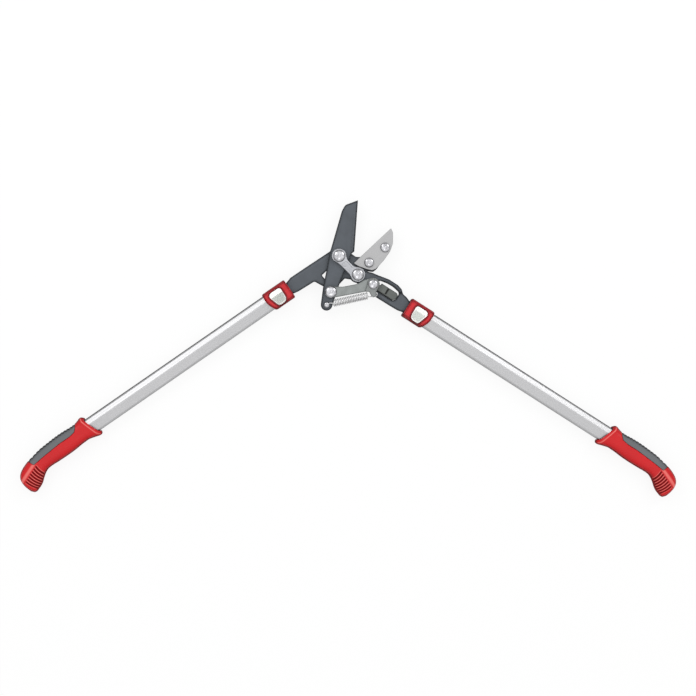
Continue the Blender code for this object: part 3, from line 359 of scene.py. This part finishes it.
def cast(name, colour, metallic, rough, side_shading=0.3, outline=0.0, top=None):
    """Tumbled casting: fine pits, soft mottling, edges lightened partly by rubbing and partly as a painted
    highlight, and painted shade on its side walls.

    Outline is how far from an edge painted shade darkens it, and below the height top the surface is dark with
    painted shade.
    """
    shader = Shader(name, colour, metallic)
    cloud = shader.noise(90, 6)
    pits = shader.noise(1500, 3)
    shader.ground(shader.spread(cloud), 0.84, 1.10)
    shader.wear_and_highlight(0.6, 1.5)
    # Painted shade: the steep side walls, a band near the edges and the hollow below the height top darken
    shader.paint(shader.steep(0.85), side_shading)
    if outline:
        shader.paint(shader.near_edge(outline, 0.8), side_shading)
    if top:
        shader.paint(shader.sunk(top, 0.4, 0.85), 0.1)
    shader.bump(pits, 0.25, 0.00008)
    return shader.finish(shader.spread(cloud, rough * 0.85, rough * 1.25))


def plated(name, colour, rough, side_shading=0.35, mottle=0.62):
    """Bright plating with faint clouding and turning marks, and painted shade on its steep side walls."""
    shader = Shader(name, colour, metallic=1.0)
    cloud = shader.noise(260, 3)
    marks = shader.noise(1400, 2)
    shader.ground(shader.ramp(cloud, 0.35, 0.65, 0.0, 1.0), mottle, 1.12)
    # Painted shade on the steep side walls
    shader.paint(shader.steep(0.9, 0.80, 0.45), side_shading)
    shader.bump(cloud, 0.25, 0.0004)
    shader.bump(marks, 0.08, 0.00003)
    return shader.finish(shader.spread(cloud, rough * 0.8, rough * 1.4))


def moulded(name, colour, rough, grain, depth, side_shading=0.3, groove=None, shine=0.5, metallic=0.0,
            flat=0.72, wall=0.25, outline=0.0, rim=None, highlight_facing=None):
    """Moulded plastic or rubber: flow clouds, a fine texture, edges lightened partly by rubbing and partly as a
    painted highlight,
    and side walls of another tone: painted shade where darker, a painted highlight where lighter.

    Groove is the colour of painted shade in grooves, and with it the raised parts marked for it get a painted
    highlight;
    rim is the colour painted as far in as the outline from an edge, painted shade where dark and a painted
    highlight where light;
    and a direction given last makes the facet facing it brighter with a painted highlight.
    """
    shader = Shader(name, colour, metallic, shine)
    cloud = shader.noise(28, 4)
    texture = shader.noise(grain, 2)
    shader.ground(shader.spread(cloud), 0.94, 1.05)
    shader.wear_and_highlight(0.3, 1.25)
    masks = [shader.steep(0.9, flat, wall)]
    # Side walls: painted shade where the share is below 1, a painted highlight above it
    shader.paint(masks[0], side_shading)
    # Painted shade in the grooves, and a painted highlight on the raised parts marked for it
    if groove:
        masks.append(shader.marked("recess_shade", 0.15, 0.9, 0.98))
        shader.paint(shader.marked("crest_highlight", 0.05, 0.95, 1.0), HIGHLIGHT_RED)
        shader.paint(masks[-1], groove)
    # Painted highlight on the facet that faces the given direction
    if highlight_facing:
        shader.paint(shader.facing(highlight_facing, 0.08, 0.20, 1.0), 1.5)
    # Colour near edges: painted shade when dark, a painted highlight when light
    if outline:
        masks.append(shader.near_edge(outline, 0.95))
        shader.paint(masks[-1], rim)
    shader.bump(texture, depth, 0.0001)
    smooth = shader.spread(cloud, rough * 0.9, rough * 1.15)
    return shader.finish(shader.dull(smooth, masks) if side_shading < 1.0 else smooth)


# Painted highlight on the grips' lip bead, ribs and shoulder
HIGHLIGHT_RED = (0.90, 0.17, 0.15)
# Every finish below paints shade on its steep side walls by its side share
COATED = coated("coated_steel", (0.100, 0.112, 0.128), metallic=0.15, shine=0.35)
ANVIL = brushed("anvil_alloy", (0.50, 0.50, 0.505), metallic=0.35, rough=0.42, stretch=33, turn=45.0)
LINK = cast("cast_link", (0.30, 0.32, 0.315), metallic=0.45, rough=0.34, side_shading=0.25, outline=1.8)
PAWL = cast("pawl_casting", (0.27, 0.285, 0.282), metallic=0.5, rough=0.30, side_shading=0.12, outline=1.5)
BRIDGE = cast("bridge_casting", (0.50, 0.51, 0.54), metallic=0.85, rough=0.24, side_shading=0.12)
CHROME = plated("bright_plating", (0.70, 0.70, 0.73), rough=0.12, side_shading=0.22)
STEEL_WIRE = plated("spring_wire", (0.90, 0.90, 0.91), rough=0.30, side_shading=0.6, mottle=0.95)
# The rack: painted shade near its edges and in its slot below the rack's top
RACK = cast("rack_steel", (0.128, 0.138, 0.130), metallic=0.4, rough=0.42, side_shading=0.15, outline=2.5,
            top=RACK_TOP)
# The tubes: a dark line of painted shade on the outer shoulder
TUBES = {
    arm.side: brushed(arm.side + "_anodised_tube", (0.58, 0.58, 0.59), metallic=0.9, rough=0.38,
                      stretch=250, turn=arm.turn, side_shading=0.45, depth=0.03, outer=arm.outer)
    for arm in ARMS
}
# The grips: painted shade in the grooves, and painted highlights on bead, ribs and shoulder
RED = moulded("red_plastic", (0.68, 0.011, 0.015), rough=0.32, grain=1800, depth=0.08, side_shading=0.22,
              groove=(0.20, 0.0003, 0.0015), shine=0.32, flat=0.78, wall=0.35)
# The collars: painted shade in dark red near every edge, round the button too
COLLAR_RED = moulded("collar_red_plastic", (0.64, 0.014, 0.022), rough=0.30, grain=1800, depth=0.08,
                     side_shading=0.14, shine=0.4, flat=0.78, wall=0.35, outline=6.2,
                     rim=(0.045, 0.0005, 0.003))
# The lock buttons: painted highlights on their side walls, a white rim near the edges and a brighter outer facet
SILVER = {
    arm.side: moulded(arm.side + "_silver_plastic", (0.48, 0.50, 0.47), rough=0.30, grain=2400,
                      depth=0.05, side_shading=1.7, metallic=0.85, outline=2.8, rim=(0.98, 0.92, 0.90),
                      highlight_facing=arm.outer)
    for arm in ARMS
}
# The inlay: painted shade, nearly black, in its sunk ribs
PAD = moulded("grey_rubber", (0.160, 0.168, 0.178), rough=0.62, grain=1500, depth=0.30, side_shading=0.06,
              groove=(0.008, 0.008, 0.010), shine=0.4, flat=0.86, wall=0.45)
BLACK = moulded("black_plastic", (0.03, 0.03, 0.03), rough=0.5, grain=1800, depth=0.1)


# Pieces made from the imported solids


def add(name, data):
    """Puts a mesh, curve, lamp or camera into the scene."""
    item = bpy.data.objects.new(name, data)
    bpy.context.scene.collection.objects.link(item)
    return item


def dressed(node, body, material, edge, sharp, shape=None):
    """A finished copy of a solid: welded, its edges rounded and its shading smoothed by angle."""
    source = frame["nodes"][node]
    mesh = source.data.copy()
    mesh.name = node + "_finish"
    mesh.materials.clear()
    mesh.materials.append(material)
    working = bmesh.new()
    working.from_mesh(mesh)
    bmesh.ops.remove_doubles(working, verts=working.verts, dist=WELD_DISTANCE)
    bmesh.ops.dissolve_limit(working, angle_limit=math.radians(FLAT_ANGLE), verts=working.verts,
                             edges=working.edges, delimit={"NORMAL"})
    if shape:
        shape(working)
    bmesh.ops.recalc_face_normals(working, faces=working.faces)
    working.to_mesh(mesh)
    working.free()
    mesh.shade_smooth()
    mesh.set_sharp_from_angle(angle=math.radians(sharp))
    piece = add(node + "_finish", mesh)
    rounding = piece.modifiers.new("rounding", "BEVEL")
    rounding.width = edge * MM
    rounding.segments = 2
    rounding.limit_method = "ANGLE"
    rounding.angle_limit = math.radians(sharp)
    rounding.harden_normals = True
    rounding.use_clamp_overlap = True
    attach(piece, body)
    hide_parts(node)


def split(working, place, direction):
    """Cuts edges into a mesh where a plane crosses it."""
    bmesh.ops.bisect_plane(
        working, geom=working.verts[:] + working.edges[:] + working.faces[:], dist=CUT_DISTANCE,
        plane_co=place, plane_no=direction)


def facet_button(arm):
    """Raises the button's top to a ridge line with a facet on either side, like the tube's."""

    def shape(working):
        top = max(v.co.z for v in working.verts)
        ridge = arm.at(0, RIDGE_SHIFT, 0)
        split(working, ridge, arm.inner)
        for vert in working.verts:
            t = (vert.co - ridge).dot(arm.inner)
            fall = BUTTON_OUTER_FALL if t < 0 else BUTTON_INNER_FALL
            if vert.co.z > top - BUTTON_TOP * MM:
                vert.co.z += BUTTON_RISE * MM - abs(t) * fall

    return shape


def collar_far(t, outer_fall):
    """Where the collar ends: a shallow arc that runs furthest a little to the outer side."""
    off = t - COLLAR_FURTHEST
    if off > 0:
        return COLLAR_END - COLLAR_INNER_FALL * (off / COLLAR_INNER_RUN) ** 2
    return COLLAR_END - outer_fall * (off / COLLAR_OUTER_RUN) ** 2


def arc_collar(arm):
    """Bends the collar's far end, which the solid has in a few straight steps, into its full arc."""
    solid_fall = COLLAR_INNER_FALL * (COLLAR_OUTER_RUN / COLLAR_INNER_RUN) ** 2

    def shape(working):
        for t in COLLAR_CUTS:
            split(working, arm.at(0, t, 0), arm.inner)
        foot = arm.at(0, 0, 0)
        for vert in working.verts:
            s = (vert.co - foot).dot(arm.along) / MM
            t = (vert.co - foot).dot(arm.inner) / MM
            behind = collar_far(t, solid_fall) - s
            if -COLLAR_SLACK < behind < COLLAR_CHAMFER_BAND:
                back = 0.0 if behind < COLLAR_FACE_BAND else COLLAR_CHAMFER
                vert.co += arm.along * (collar_far(t, COLLAR_OUTER_FALL) - back - s) * MM

    return shape


def dress_all():
    """Every solid but the spring, the grips and their inlays gets its finish, on the solid's body."""
    finishes = {
        "anvil_lever": (COATED, "coated_steel", FORGED_EDGE),
        "ratchet_lever": (COATED, "coated_steel", FORGED_EDGE),
        "blade": (COATED, "coated_steel", BLADE_EDGE),
        "anvil_plate": (ANVIL, "anvil_alloy", PLATE_EDGE),
        "bridge_link": (BRIDGE, "cast_link", BRIDGE_EDGE),
        "drive_link": (LINK, "cast_link", CAST_EDGE),
        "ratchet_pawl": (PAWL, "cast_link", CAST_EDGE),
        "ratchet_rack": (RACK, "rack_steel", RACK_EDGE),
    }
    for node in ("anvil_screw_1", "anvil_screw_2", "pivot_bolt", "lever_bolt", "link_rivet", "drive_pin",
                 "spring_screw", "pivot_nut", "lever_nut", "rack_rivet_1", "rack_rivet_2"):
        finishes[node] = (CHROME, "bright_steel", TURNED_EDGE)
    shapes = {}
    for arm in ARMS:
        for ending, finish in (
            ("_tube_rivet_1", (CHROME, "bright_steel", TURNED_EDGE)),
            ("_tube_rivet_2", (CHROME, "bright_steel", TURNED_EDGE)),
            ("_inner_tube", (TUBES[arm.side], "aluminium_tube", TUBE_EDGE)),
            ("_outer_tube", (TUBES[arm.side], "aluminium_tube", TUBE_EDGE)),
            ("_glide_bush", (BLACK, "black_plastic", TUBE_EDGE)),
            ("_collar", (COLLAR_RED, "red_plastic", MOULDED_EDGE)),
            ("_lock_button", (SILVER[arm.side], "silver_plastic", BUTTON_EDGE)),
        ):
            finishes[arm.side + ending] = finish
        shapes[arm.side + "_lock_button"] = facet_button(arm)
        shapes[arm.side + "_collar"] = arc_collar(arm)
    nodes_of = frame["record"]["behaviour"]["bodies"]
    bodies = {node: body for body, nodes in nodes_of.items() for node in nodes}
    for node, (material, slot, edge) in finishes.items():
        sharp = FACET_ANGLE if node.endswith(("tube", "button")) else SHARP_ANGLE
        dressed(node, bodies[node], material, edge, sharp, shapes.get(node))


# Grips and their inlays

# Stations: distance from the grip's start, shift across, half width, half height, tilt in degrees
GRIP_STATIONS = [
    (0.0, -0.1, 15.4, 11.6, 19.5),
    (2.2, -0.1, 18.8, 12.5, 18.5),
    (5.8, 0.0, 19.4, 12.5, 17),
    (10.5, -0.3, 17.6, 12.2, 14),
    (19.0, -0.8, 15.1, 12.1, 9),
    (24.0, -0.7, 14.9, 12.1, 5),
    (29.0, -0.6, 14.9, 12.2, 2),
    (40.0, -0.5, 15.8, 12.3, 0),
    (54.0, -0.4, 16.1, 12.4, 0),
    (70.0, -0.1, 15.5, 12.4, 0),
    (83.0, 0.3, 14.7, 12.4, 5),
    (92.2, 1.8, 14.3, 12.4, 15),
    (101.0, 4.4, 15.3, 12.5, 26),
    (109.0, 8.4, 16.5, 12.5, 33),
    (115.5, 13.1, 17.0, 12.2, 34),
    (120.4, 17.5, 15.5, 11.5, 35),
    (123.2, 21.4, 12.6, 10.2, 35),
    (124.3, 24.9, 9.6, 8.4, 36),
    (124.8, 27.8, 6.6, 6.0, 38),
    (125.0, 30.0, 3.4, 3.2, 42),
]

# Power of a section's rounded form, points round it, and steps between sections, finer on the butt
GRIP_POWER = 2.6
GRIP_SIDES = 96
RING_STEP = 0.7
BUTT_START = 92.0
BUTT_STEP = 0.4

# Soft inlay: its edge across the grip at distances from the grip's start, its depth and the bed's gap
# below it, and its clearance in the bed at its edge and far end, and at its start
INLAY_EDGE = [(18.8, -15.5), (22.0, -11.0), (27.5, -6.2), (37.0, -4.6), (54.0, -4.7), (70.0, -3.4),
              (83.0, -2.3), (99.5, -0.4)]
INLAY_DEPTH = 1.2
INLAY_GAP = 0.3
INLAY_FIT = 0.5
INLAY_START_FIT = 0.6

# Its rim: how much lower it lies, its length at the ends, and its share of the way round a section
INLAY_RIM_FALL = 0.4
INLAY_RIM_LENGTH = 1.2
INLAY_RIM_SHARE = 0.05

# Its sections, the points round one, and its ribs
INLAY_RINGS = 150
INLAY_SIDES = 40
RIB_PITCH = 5.2
RIB_HEIGHT = 0.7

# Grooves of the butt: place and start across of the first, their pitches, width and depth, and their
# bow, which begins at a shift across
GROOVES = 7
GROOVE_FIRST = 99.8
GROOVE_START = 1.8
GROOVE_PITCH = 4.25
GROOVE_DROP = 1.65
GROOVE_BOW = 0.0125
GROOVE_BOW_START = 2.0
GROOVE_HALF = 1.75
GROOVE_DEPTH = 1.3

# The rounded shoulder, which carries a band of painted highlight, lies this far before the grooves' starts
SHOULDER_SHIFT = 3.2

# The mouth's rim dips back over the tube's two wide faces, which fades by a reach; a bead runs behind, with a line
# of painted highlight
LIP_DIP = 3.0
LIP_REACH = 15.0
BEAD_PLACE = 3.8

# The hole for the tube: clearance round the tube, how far in it begins, and the gap at its bottom
MOUTH_FIT = 0.5
MOUTH_DEPTH = 1.2
TUBE_GAP = 0.3

# Halvings that find the inlay's edge on a section
HALVINGS = 25


def eased(stations, s):
    """Catmull-Rom value of the stations' columns at distance s."""
    last = len(stations) - 1
    index = max(i for i in range(last) if stations[i][0] <= s or i == 0)
    low, high = stations[index], stations[index + 1]
    before, after = stations[max(index - 1, 0)], stations[min(index + 2, last)]
    span = high[0] - low[0]
    u = (s - low[0]) / span
    values = []
    for column in range(1, len(low)):
        slope_low = (high[column] - before[column]) / max(high[0] - before[0], 1e-6) * span
        slope_high = (after[column] - low[column]) / max(after[0] - low[0], 1e-6) * span
        values.append((2 * u**3 - 3 * u**2 + 1) * low[column] + (u**3 - 2 * u**2 + u) * slope_low
                      + (3 * u**2 - 2 * u**3) * high[column] + (u**3 - u**2) * slope_high)
    return values


def smooth_step(value, low, high):
    """Rises smoothly from 0 at low to 1 at high."""
    share = min(1.0, max(0.0, (value - low) / (high - low)))
    return share * share * (3 - 2 * share)


def inlay_edge(s):
    """Where the inlay's edge lies across the grip."""
    for low, high in zip(INLAY_EDGE, INLAY_EDGE[1:]):
        if low[0] <= s <= high[0]:
            return low[1] + (high[1] - low[1]) * (s - low[0]) / (high[0] - low[0])
    return INLAY_EDGE[0][1] if s < INLAY_EDGE[0][0] else INLAY_EDGE[-1][1]


def past_first_groove(s, t):
    """Distance past the first groove, counted along the bow that the grooves follow."""
    return s + GROOVE_BOW * max(0.0, t - GROOVE_BOW_START) ** 2 - GROOVE_FIRST


def groove_share(s, t, up):
    """How deep a point of the butt's face lies in a groove, from 0 to 1."""
    lane = past_first_groove(s, t)
    number = round(lane / GROOVE_PITCH)
    if not 0 <= number < GROOVES:
        return 0.0
    off = abs(lane - number * GROOVE_PITCH)
    start = GROOVE_START + number * GROOVE_DROP
    cut = 1 - smooth_step(off, GROOVE_HALF * 0.5, GROOVE_HALF)
    return cut * smooth_step(t, start, start + 1.6) * smooth_step(abs(up), 2.0, 5.0)


def crest_highlight_share(place, s, t, up):
    """How much painted highlight a point gets, from 0 to 1: on the lip's bead, a rib or the shoulder before the
    ribs.
    """
    bead = 1 - smooth_step(abs(place - BEAD_PLACE), 0.3, 1.3)
    lane = past_first_groove(s, t) / GROOVE_PITCH
    start = GROOVE_START + lane * GROOVE_DROP
    rib = smooth_step(abs(lane - round(lane)), 0.28, 0.45) * smooth_step(t, start, start + 2.0)
    rib *= smooth_step(lane, -0.9, -0.3) * (1 - smooth_step(lane, GROOVES - 0.7, GROOVES - 0.3))
    shoulder = 1 - smooth_step(abs(t - start + SHOULDER_SHIFT), 0.9, 3.4)
    return max(bead, rib, shoulder * smooth_step(lane, -1.5, 0.5)) * smooth_step(abs(up), 4.0, 8.0)


def lip_dip(angle):
    """How far the mouth's rim lies back at an angle of the section."""
    return LIP_DIP * smooth_step(abs(math.sin(angle)), 0.2, 0.7)


def section_point(s, angle, depth):
    """Point (s, t, height) of the grip's surface, sunk by a depth."""
    shift, wide, high, tilt = eased(GRIP_STATIONS, s)
    cos, sin = math.cos(angle), math.sin(angle)
    form = (abs(cos) / wide) ** GRIP_POWER + (abs(sin) / high) ** GRIP_POWER
    reach = form ** (-1 / GRIP_POWER) - depth
    across, up = reach * cos, reach * sin
    lean = math.radians(tilt)
    dip = lip_dip(angle) * (1 - smooth_step(s, BEAD_PLACE, LIP_REACH))
    return GRIP_START + s + dip - across * math.sin(lean), shift + across * math.cos(lean), up


def loft(name, rings, material, body, marks):
    """A capped mesh through rings of equal count; marks names each value that its points carry."""
    mesh = bpy.data.meshes.new(name)
    count = len(rings[0])
    faces = []
    for low in range(len(rings) - 1):
        high = low + 1
        for i in range(count):
            j = (i + 1) % count
            faces.append((low * count + i, low * count + j, high * count + j, high * count + i))
    faces.append(tuple(reversed(range(count))))
    faces.append(tuple((len(rings) - 1) * count + i for i in range(count)))
    mesh.from_pydata([point for ring in rings for point in ring], [], faces)
    for label, shares in marks.items():
        mark = mesh.attributes.new(label, "FLOAT", "POINT")
        for spot, share in zip(mark.data, shares):
            spot.value = share
    working = bmesh.new()
    working.from_mesh(mesh)
    bmesh.ops.recalc_face_normals(working, faces=working.faces)
    working.to_mesh(mesh)
    working.free()
    mesh.shade_smooth()
    mesh.set_sharp_from_angle(angle=math.radians(LOFT_ANGLE))
    mesh.materials.append(material)
    piece = add(name, mesh)
    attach(piece, body)
    return piece


def tube_outline(grow):
    """The handle tube's section (t, height), grown by a clearance."""
    half, shoulder, ridge = TUBE_HALF_WIDTH, TUBE_SHOULDER, TUBE_RIDGE
    front = [(half, 2.7), (half - 0.4, 4.3), (half - 1.5, 5.6), (half - 3.1, 6.3),
             (RIDGE_SHIFT + 0.8, ridge - 0.18), (RIDGE_SHIFT - 0.8, ridge - 0.18),
             (-half + 2.9, shoulder), (-half + 1.3, 5.7), (-half + 0.3, 4.3), (-half, 2.7)]
    points = front + [(t, -h) for t, h in reversed(front)]
    return [(t * (1 + grow / half), h * (1 + grow / ridge)) for t, h in points]


def outline_reach(outline, angle):
    """Distance from the middle to an outline in one direction."""
    x, y = math.cos(angle), math.sin(angle)
    best = 0.0
    for (ax, ay), (bx, by) in zip(outline, outline[1:] + outline[:1]):
        cross = x * (by - ay) - y * (bx - ax)
        if abs(cross) < 1e-9:
            continue
        distance = (ax * (by - ay) - ay * (bx - ax)) / cross
        share = (ax * y - ay * x) / cross
        if distance > 0 and -1e-6 <= share <= 1 + 1e-6:
            best = max(best, distance)
    return best


def in_inlay(s, t, angle):
    """How fully a surface point lies in the inlay's bed, from 0 to 1."""
    start, end = INLAY_EDGE[0][0], INLAY_EDGE[-1][0]
    if math.cos(angle) > 0 or not start - 1 < s < end + 1:
        return 0.0
    along = smooth_step(s, start - 0.5, start + 0.5) * (1 - smooth_step(s, end - 0.5, end + 0.5))
    return along * (1 - smooth_step(t, inlay_edge(s) - 0.3, inlay_edge(s) + 0.5))


def make_grip(arm):
    """The red grip with its grooved butt and the bed of the inlay, and the soft inlay itself."""
    body = arm.side + "_handle"
    angles = [2 * math.pi * i / GRIP_SIDES for i in range(GRIP_SIDES)]
    places = []
    s = GRIP_STATIONS[-1][0]
    while s > 0:
        places.append(s)
        s -= BUTT_STEP if s > BUTT_START else RING_STEP
    places.append(0.0)
    rings, shares, crest_highlights = [], [], []
    for s in places:
        ring = []
        for angle in angles:
            along, t, up = section_point(s, angle, 0)
            share = groove_share(along - GRIP_START, t, up)
            depth = in_inlay(s, t, angle) * (INLAY_DEPTH + INLAY_GAP) + GROOVE_DEPTH * share
            ring.append(arm.at(*section_point(s, angle, depth)))
            shares.append(share)
            crest_highlights.append(crest_highlight_share(s, along - GRIP_START, t, up))
        rings.append(ring)
    outline = tube_outline(MOUTH_FIT)
    shift, lean = GRIP_STATIONS[0][1], math.tan(math.radians(GRIP_STATIONS[0][4]))
    mouth, bottom = [], []
    for angle in angles:
        reach = outline_reach(outline, angle)
        t, up = reach * math.cos(angle), reach * math.sin(angle)
        mouth.append(arm.at(GRIP_START + MOUTH_DEPTH + lip_dip(angle) - (t - shift) * lean, t, up))
        bottom.append(arm.at(TUBE_END + TUBE_GAP, t, up))
    rings += [mouth, bottom]
    plain = [0.0] * (2 * GRIP_SIDES)
    # The grooves' share carries painted shade into them, the other mark a painted highlight
    marks = {"recess_shade": shares + plain, "crest_highlight": crest_highlights + plain}
    grip = loft(arm.side + "_grip_finish", rings, RED, body, marks)
    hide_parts(arm.side + "_grip")
    make_inlay(arm, body)


def inlay_angle(s):
    """Angle on the section at which the inlay's edge lies."""
    edge_t = inlay_edge(s) - INLAY_FIT
    low, high = math.pi / 2, math.pi
    for _ in range(HALVINGS):
        middle = (low + high) / 2
        if section_point(s, middle, 0)[1] > edge_t:
            low = middle
        else:
            high = middle
    return low


def make_inlay(arm, body):
    """The soft inlay: a strip in the grip's bed, lower at its rim and ribbed on its outer side."""
    start, end = INLAY_EDGE[0][0] + INLAY_START_FIT, INLAY_EDGE[-1][0] - INLAY_FIT
    rings, shares = [], []
    for step in range(INLAY_RINGS + 1):
        s = start + (end - start) * step / INLAY_RINGS
        low = inlay_angle(s)
        ends = smooth_step(s, start, start + INLAY_RIM_LENGTH)
        ends *= 1 - smooth_step(s, end - INLAY_RIM_LENGTH, end)
        wave = smooth_step(math.cos(2 * math.pi * s / RIB_PITCH), -0.1, 0.9)
        outer, inner, depths = [], [], []
        for i in range(INLAY_SIDES + 1):
            share = i / INLAY_SIDES
            angle = low + (2 * math.pi - 2 * low) * share
            rim = min(smooth_step(share, 0, INLAY_RIM_SHARE),
                      smooth_step(1 - share, 0, INLAY_RIM_SHARE), ends)
            side = smooth_step(-math.cos(angle), 0.78, 0.95)
            depth = INLAY_RIM_FALL * (1 - rim) + RIB_HEIGHT * side * wave * rim
            outer.append(arm.at(*section_point(s, angle, depth)))
            inner.append(arm.at(*section_point(s, angle, INLAY_DEPTH)))
            depths.append(side * wave * rim)
        rings.append(outer + inner[::-1])
        shares += depths + [0.0] * len(depths)
    # The sunk ribs' share carries painted shade into them
    pad = loft(arm.side + "_grip_pad_finish", rings, PAD, body, {"recess_shade": shares})
    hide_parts(arm.side + "_grip_pad")


# Return spring, with more points to a curl than the solid: wire and coil
WIRE_RADIUS = 0.8
COIL_RADIUS = 4.7
CURLS = 21
CURL_POINTS = 20
COIL_START = 10.0
COIL_END = 8.6

# Its loops: radii, start and turn in degrees, and where the peg's loop lies
LOOP_POINTS = 24
SCREW_LOOP = (3.3, 3.3)
SCREW_LOOP_TURN = (310, -280)
PEG_LOOP = (4.9, 3.2)
PEG_LOOP_TURN = (225, 295)
PEG_LOOP_SHIFT = 0.8
PEG_FROM_DRIVE = Vector((0.5, -14.8, 0.0))
LOOP_HEIGHT = 21.9
COIL_HEIGHT = LOOP_HEIGHT + COIL_RADIUS + 0.2

# Where the wire runs between loop and coil, along and across from the coil's end
FROM_SCREW = (-3.0, 1.2)
TO_PEG = (1.8, -2.2)


def make_spring():
    """One unbroken wire: a loop round the screw, the coil, and a long loop round the pawl's peg."""
    screw = Vector(joints["spring_swing"]["pos_m"]) / MM
    peg = Vector(joints["pawl_swing"]["pos_m"]) / MM + PEG_FROM_DRIVE
    run = Vector((peg.x - screw.x, peg.y - screw.y, 0))
    ahead = run.normalized()
    side = Vector((-ahead.y, ahead.x, 0))
    base = Vector((screw.x, screw.y, 0))

    def at(distance, across, height):
        return (base + ahead * distance + side * across + UP * height) * MM

    def loop(middle, radii, start, turn):
        angles = [math.radians(start + turn * i / LOOP_POINTS) for i in range(LOOP_POINTS + 1)]
        return [at(middle + radii[0] * math.cos(a), radii[1] * math.sin(a), LOOP_HEIGHT) for a in angles]

    first, last = COIL_START, run.length - COIL_END
    points = loop(0.0, SCREW_LOOP, *SCREW_LOOP_TURN)
    points.append(at(first + FROM_SCREW[0], FROM_SCREW[1], LOOP_HEIGHT))
    steps = CURLS * CURL_POINTS
    for i in range(steps + 1):
        turn = 2 * math.pi * i / CURL_POINTS + math.pi
        here = first + (last - first) * i / steps
        points.append(at(here, COIL_RADIUS * math.sin(turn), COIL_HEIGHT + COIL_RADIUS * math.cos(turn)))
    points.append(at(last + TO_PEG[0], TO_PEG[1], LOOP_HEIGHT))
    points += loop(run.length + PEG_LOOP_SHIFT, PEG_LOOP, *PEG_LOOP_TURN)
    curve = bpy.data.curves.new("return_spring_finish", "CURVE")
    curve.dimensions = "3D"
    curve.bevel_depth = WIRE_RADIUS * MM
    curve.bevel_resolution = 2
    curve.use_fill_caps = True
    line = curve.splines.new("POLY")
    line.points.add(len(points) - 1)
    for spot, point in zip(line.points, points):
        spot.co = (*point, 1.0)
    line.use_smooth = True
    curve.materials.append(STEEL_WIRE)
    piece = add("return_spring_finish", curve)
    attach(piece, "return_spring")
    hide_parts("return_spring")


# Floor, light and camera

# The floor, in metres: half its side, and how far it lies below the object; and its speckled grey
FLOOR_HALF = 30.0
FLOOR_DROP = 0.0002
FLOOR_GREYS = (0.50, 0.54)

# How much of the floor's own white the camera and reflections see, and how bright that white is
FLOOR_GLOW = 0.72
FLOOR_WHITE = 1.20

# The sky's light at the horizon and overhead
HORIZON_LEVEL = 0.18
ZENITH_LEVEL = 1.09

# Soft boxes: name, place in metres, width and height, power
LAMPS = (
    ("key_left", Vector((-1.25, 1.30, 1.75)), (0.9, 0.9), 7.6),
    ("key_right", Vector((1.55, 1.30, 1.75)), (0.9, 0.9), 7.6),
    ("front", Vector((0.0, -0.45, 2.25)), (0.25, 0.25), 0.6),
)


def make_floor():
    """A pale floor that the camera sees as white, with the object's shadow kept faint on it."""
    half, low = FLOOR_HALF, -FLOOR_DROP
    mesh = bpy.data.meshes.new("floor")
    corners = [(-half, -half, low), (half, -half, low), (half, half, low), (-half, half, low)]
    mesh.from_pydata(corners, [], [(0, 1, 2, 3)])
    material = bpy.data.materials.new("floor")
    material.use_nodes = True
    nodes, links = material.node_tree.nodes, material.node_tree.links
    surface = nodes["Principled BSDF"]
    surface.inputs["Roughness"].default_value = 0.9
    speckle = nodes.new("ShaderNodeTexNoise")
    speckle.inputs["Scale"].default_value = 3.0
    tint = mapped(nodes, links, speckle.outputs["Fac"], 0.0, 1.0, *FLOOR_GREYS)
    links.new(tint, surface.inputs["Base Color"])
    glow = nodes.new("ShaderNodeEmission")
    glow.inputs["Strength"].default_value = FLOOR_WHITE
    path = nodes.new("ShaderNodeLightPath").outputs
    seen = maths(nodes, links, "MAXIMUM", path["Is Camera Ray"], path["Is Transmission Ray"])
    seen = maths(nodes, links, "MAXIMUM", seen, path["Is Glossy Ray"])
    mixed = nodes.new("ShaderNodeMixShader")
    links.new(maths(nodes, links, "MULTIPLY", seen, FLOOR_GLOW), mixed.inputs["Fac"])
    links.new(surface.outputs["BSDF"], mixed.inputs[1])
    links.new(glow.outputs["Emission"], mixed.inputs[2])
    links.new(mixed.outputs["Shader"], nodes["Material Output"].inputs["Surface"])
    mesh.materials.append(material)
    placed = add("floor", mesh)


def make_sky():
    """A sky that dims towards the horizon, and that the camera sees as white."""
    world = bpy.data.worlds.new("studio")
    world.use_nodes = True
    nodes, links = world.node_tree.nodes, world.node_tree.links
    direction = nodes.new("ShaderNodeTexCoord")
    parts = nodes.new("ShaderNodeSeparateXYZ")
    links.new(direction.outputs["Generated"], parts.inputs["Vector"])
    level = mapped(nodes, links, parts.outputs["Z"], 0.0, 1.0, HORIZON_LEVEL, ZENITH_LEVEL)
    path = nodes.new("ShaderNodeLightPath").outputs
    background = nodes["Background"]
    background.inputs["Color"].default_value = (1, 1, 1, 1)
    strength = maths(nodes, links, "MAXIMUM", level, path["Is Camera Ray"])
    links.new(strength, background.inputs["Strength"])
    bpy.context.scene.world = world


def make_lamps():
    """Two soft boxes beyond the blade and a small one in front, all turned to the origin."""
    for name, place, size, energy in LAMPS:
        light = bpy.data.lights.new(name, "AREA")
        light.shape = "RECTANGLE"
        light.size, light.size_y = size
        light.energy = energy
        lamp = add(name, light)
        lamp.location = place
        lamp.rotation_euler = (-place).to_track_quat("-Z", "Y").to_euler()


def make_camera():
    """The photograph's camera."""
    camera = bpy.data.cameras.new("camera")
    camera.lens = LENS
    camera.sensor_width = SENSOR_WIDTH
    camera.clip_start = 0.05
    across, away, height = CAMERA_FROM_PIVOT
    placed = add("camera", camera)
    placed.location = Vector((PIVOT.x + across, PIVOT.y + away, height)) * MM
    placed.rotation_euler = [math.radians(turn) for turn in CAMERA_TURN]
    bpy.context.scene.camera = placed
    bpy.context.scene.view_settings.view_transform = "Standard"


dress_all()
make_spring()
for arm in ARMS:
    make_grip(arm)
make_floor()
make_sky()
make_lamps()
make_camera()
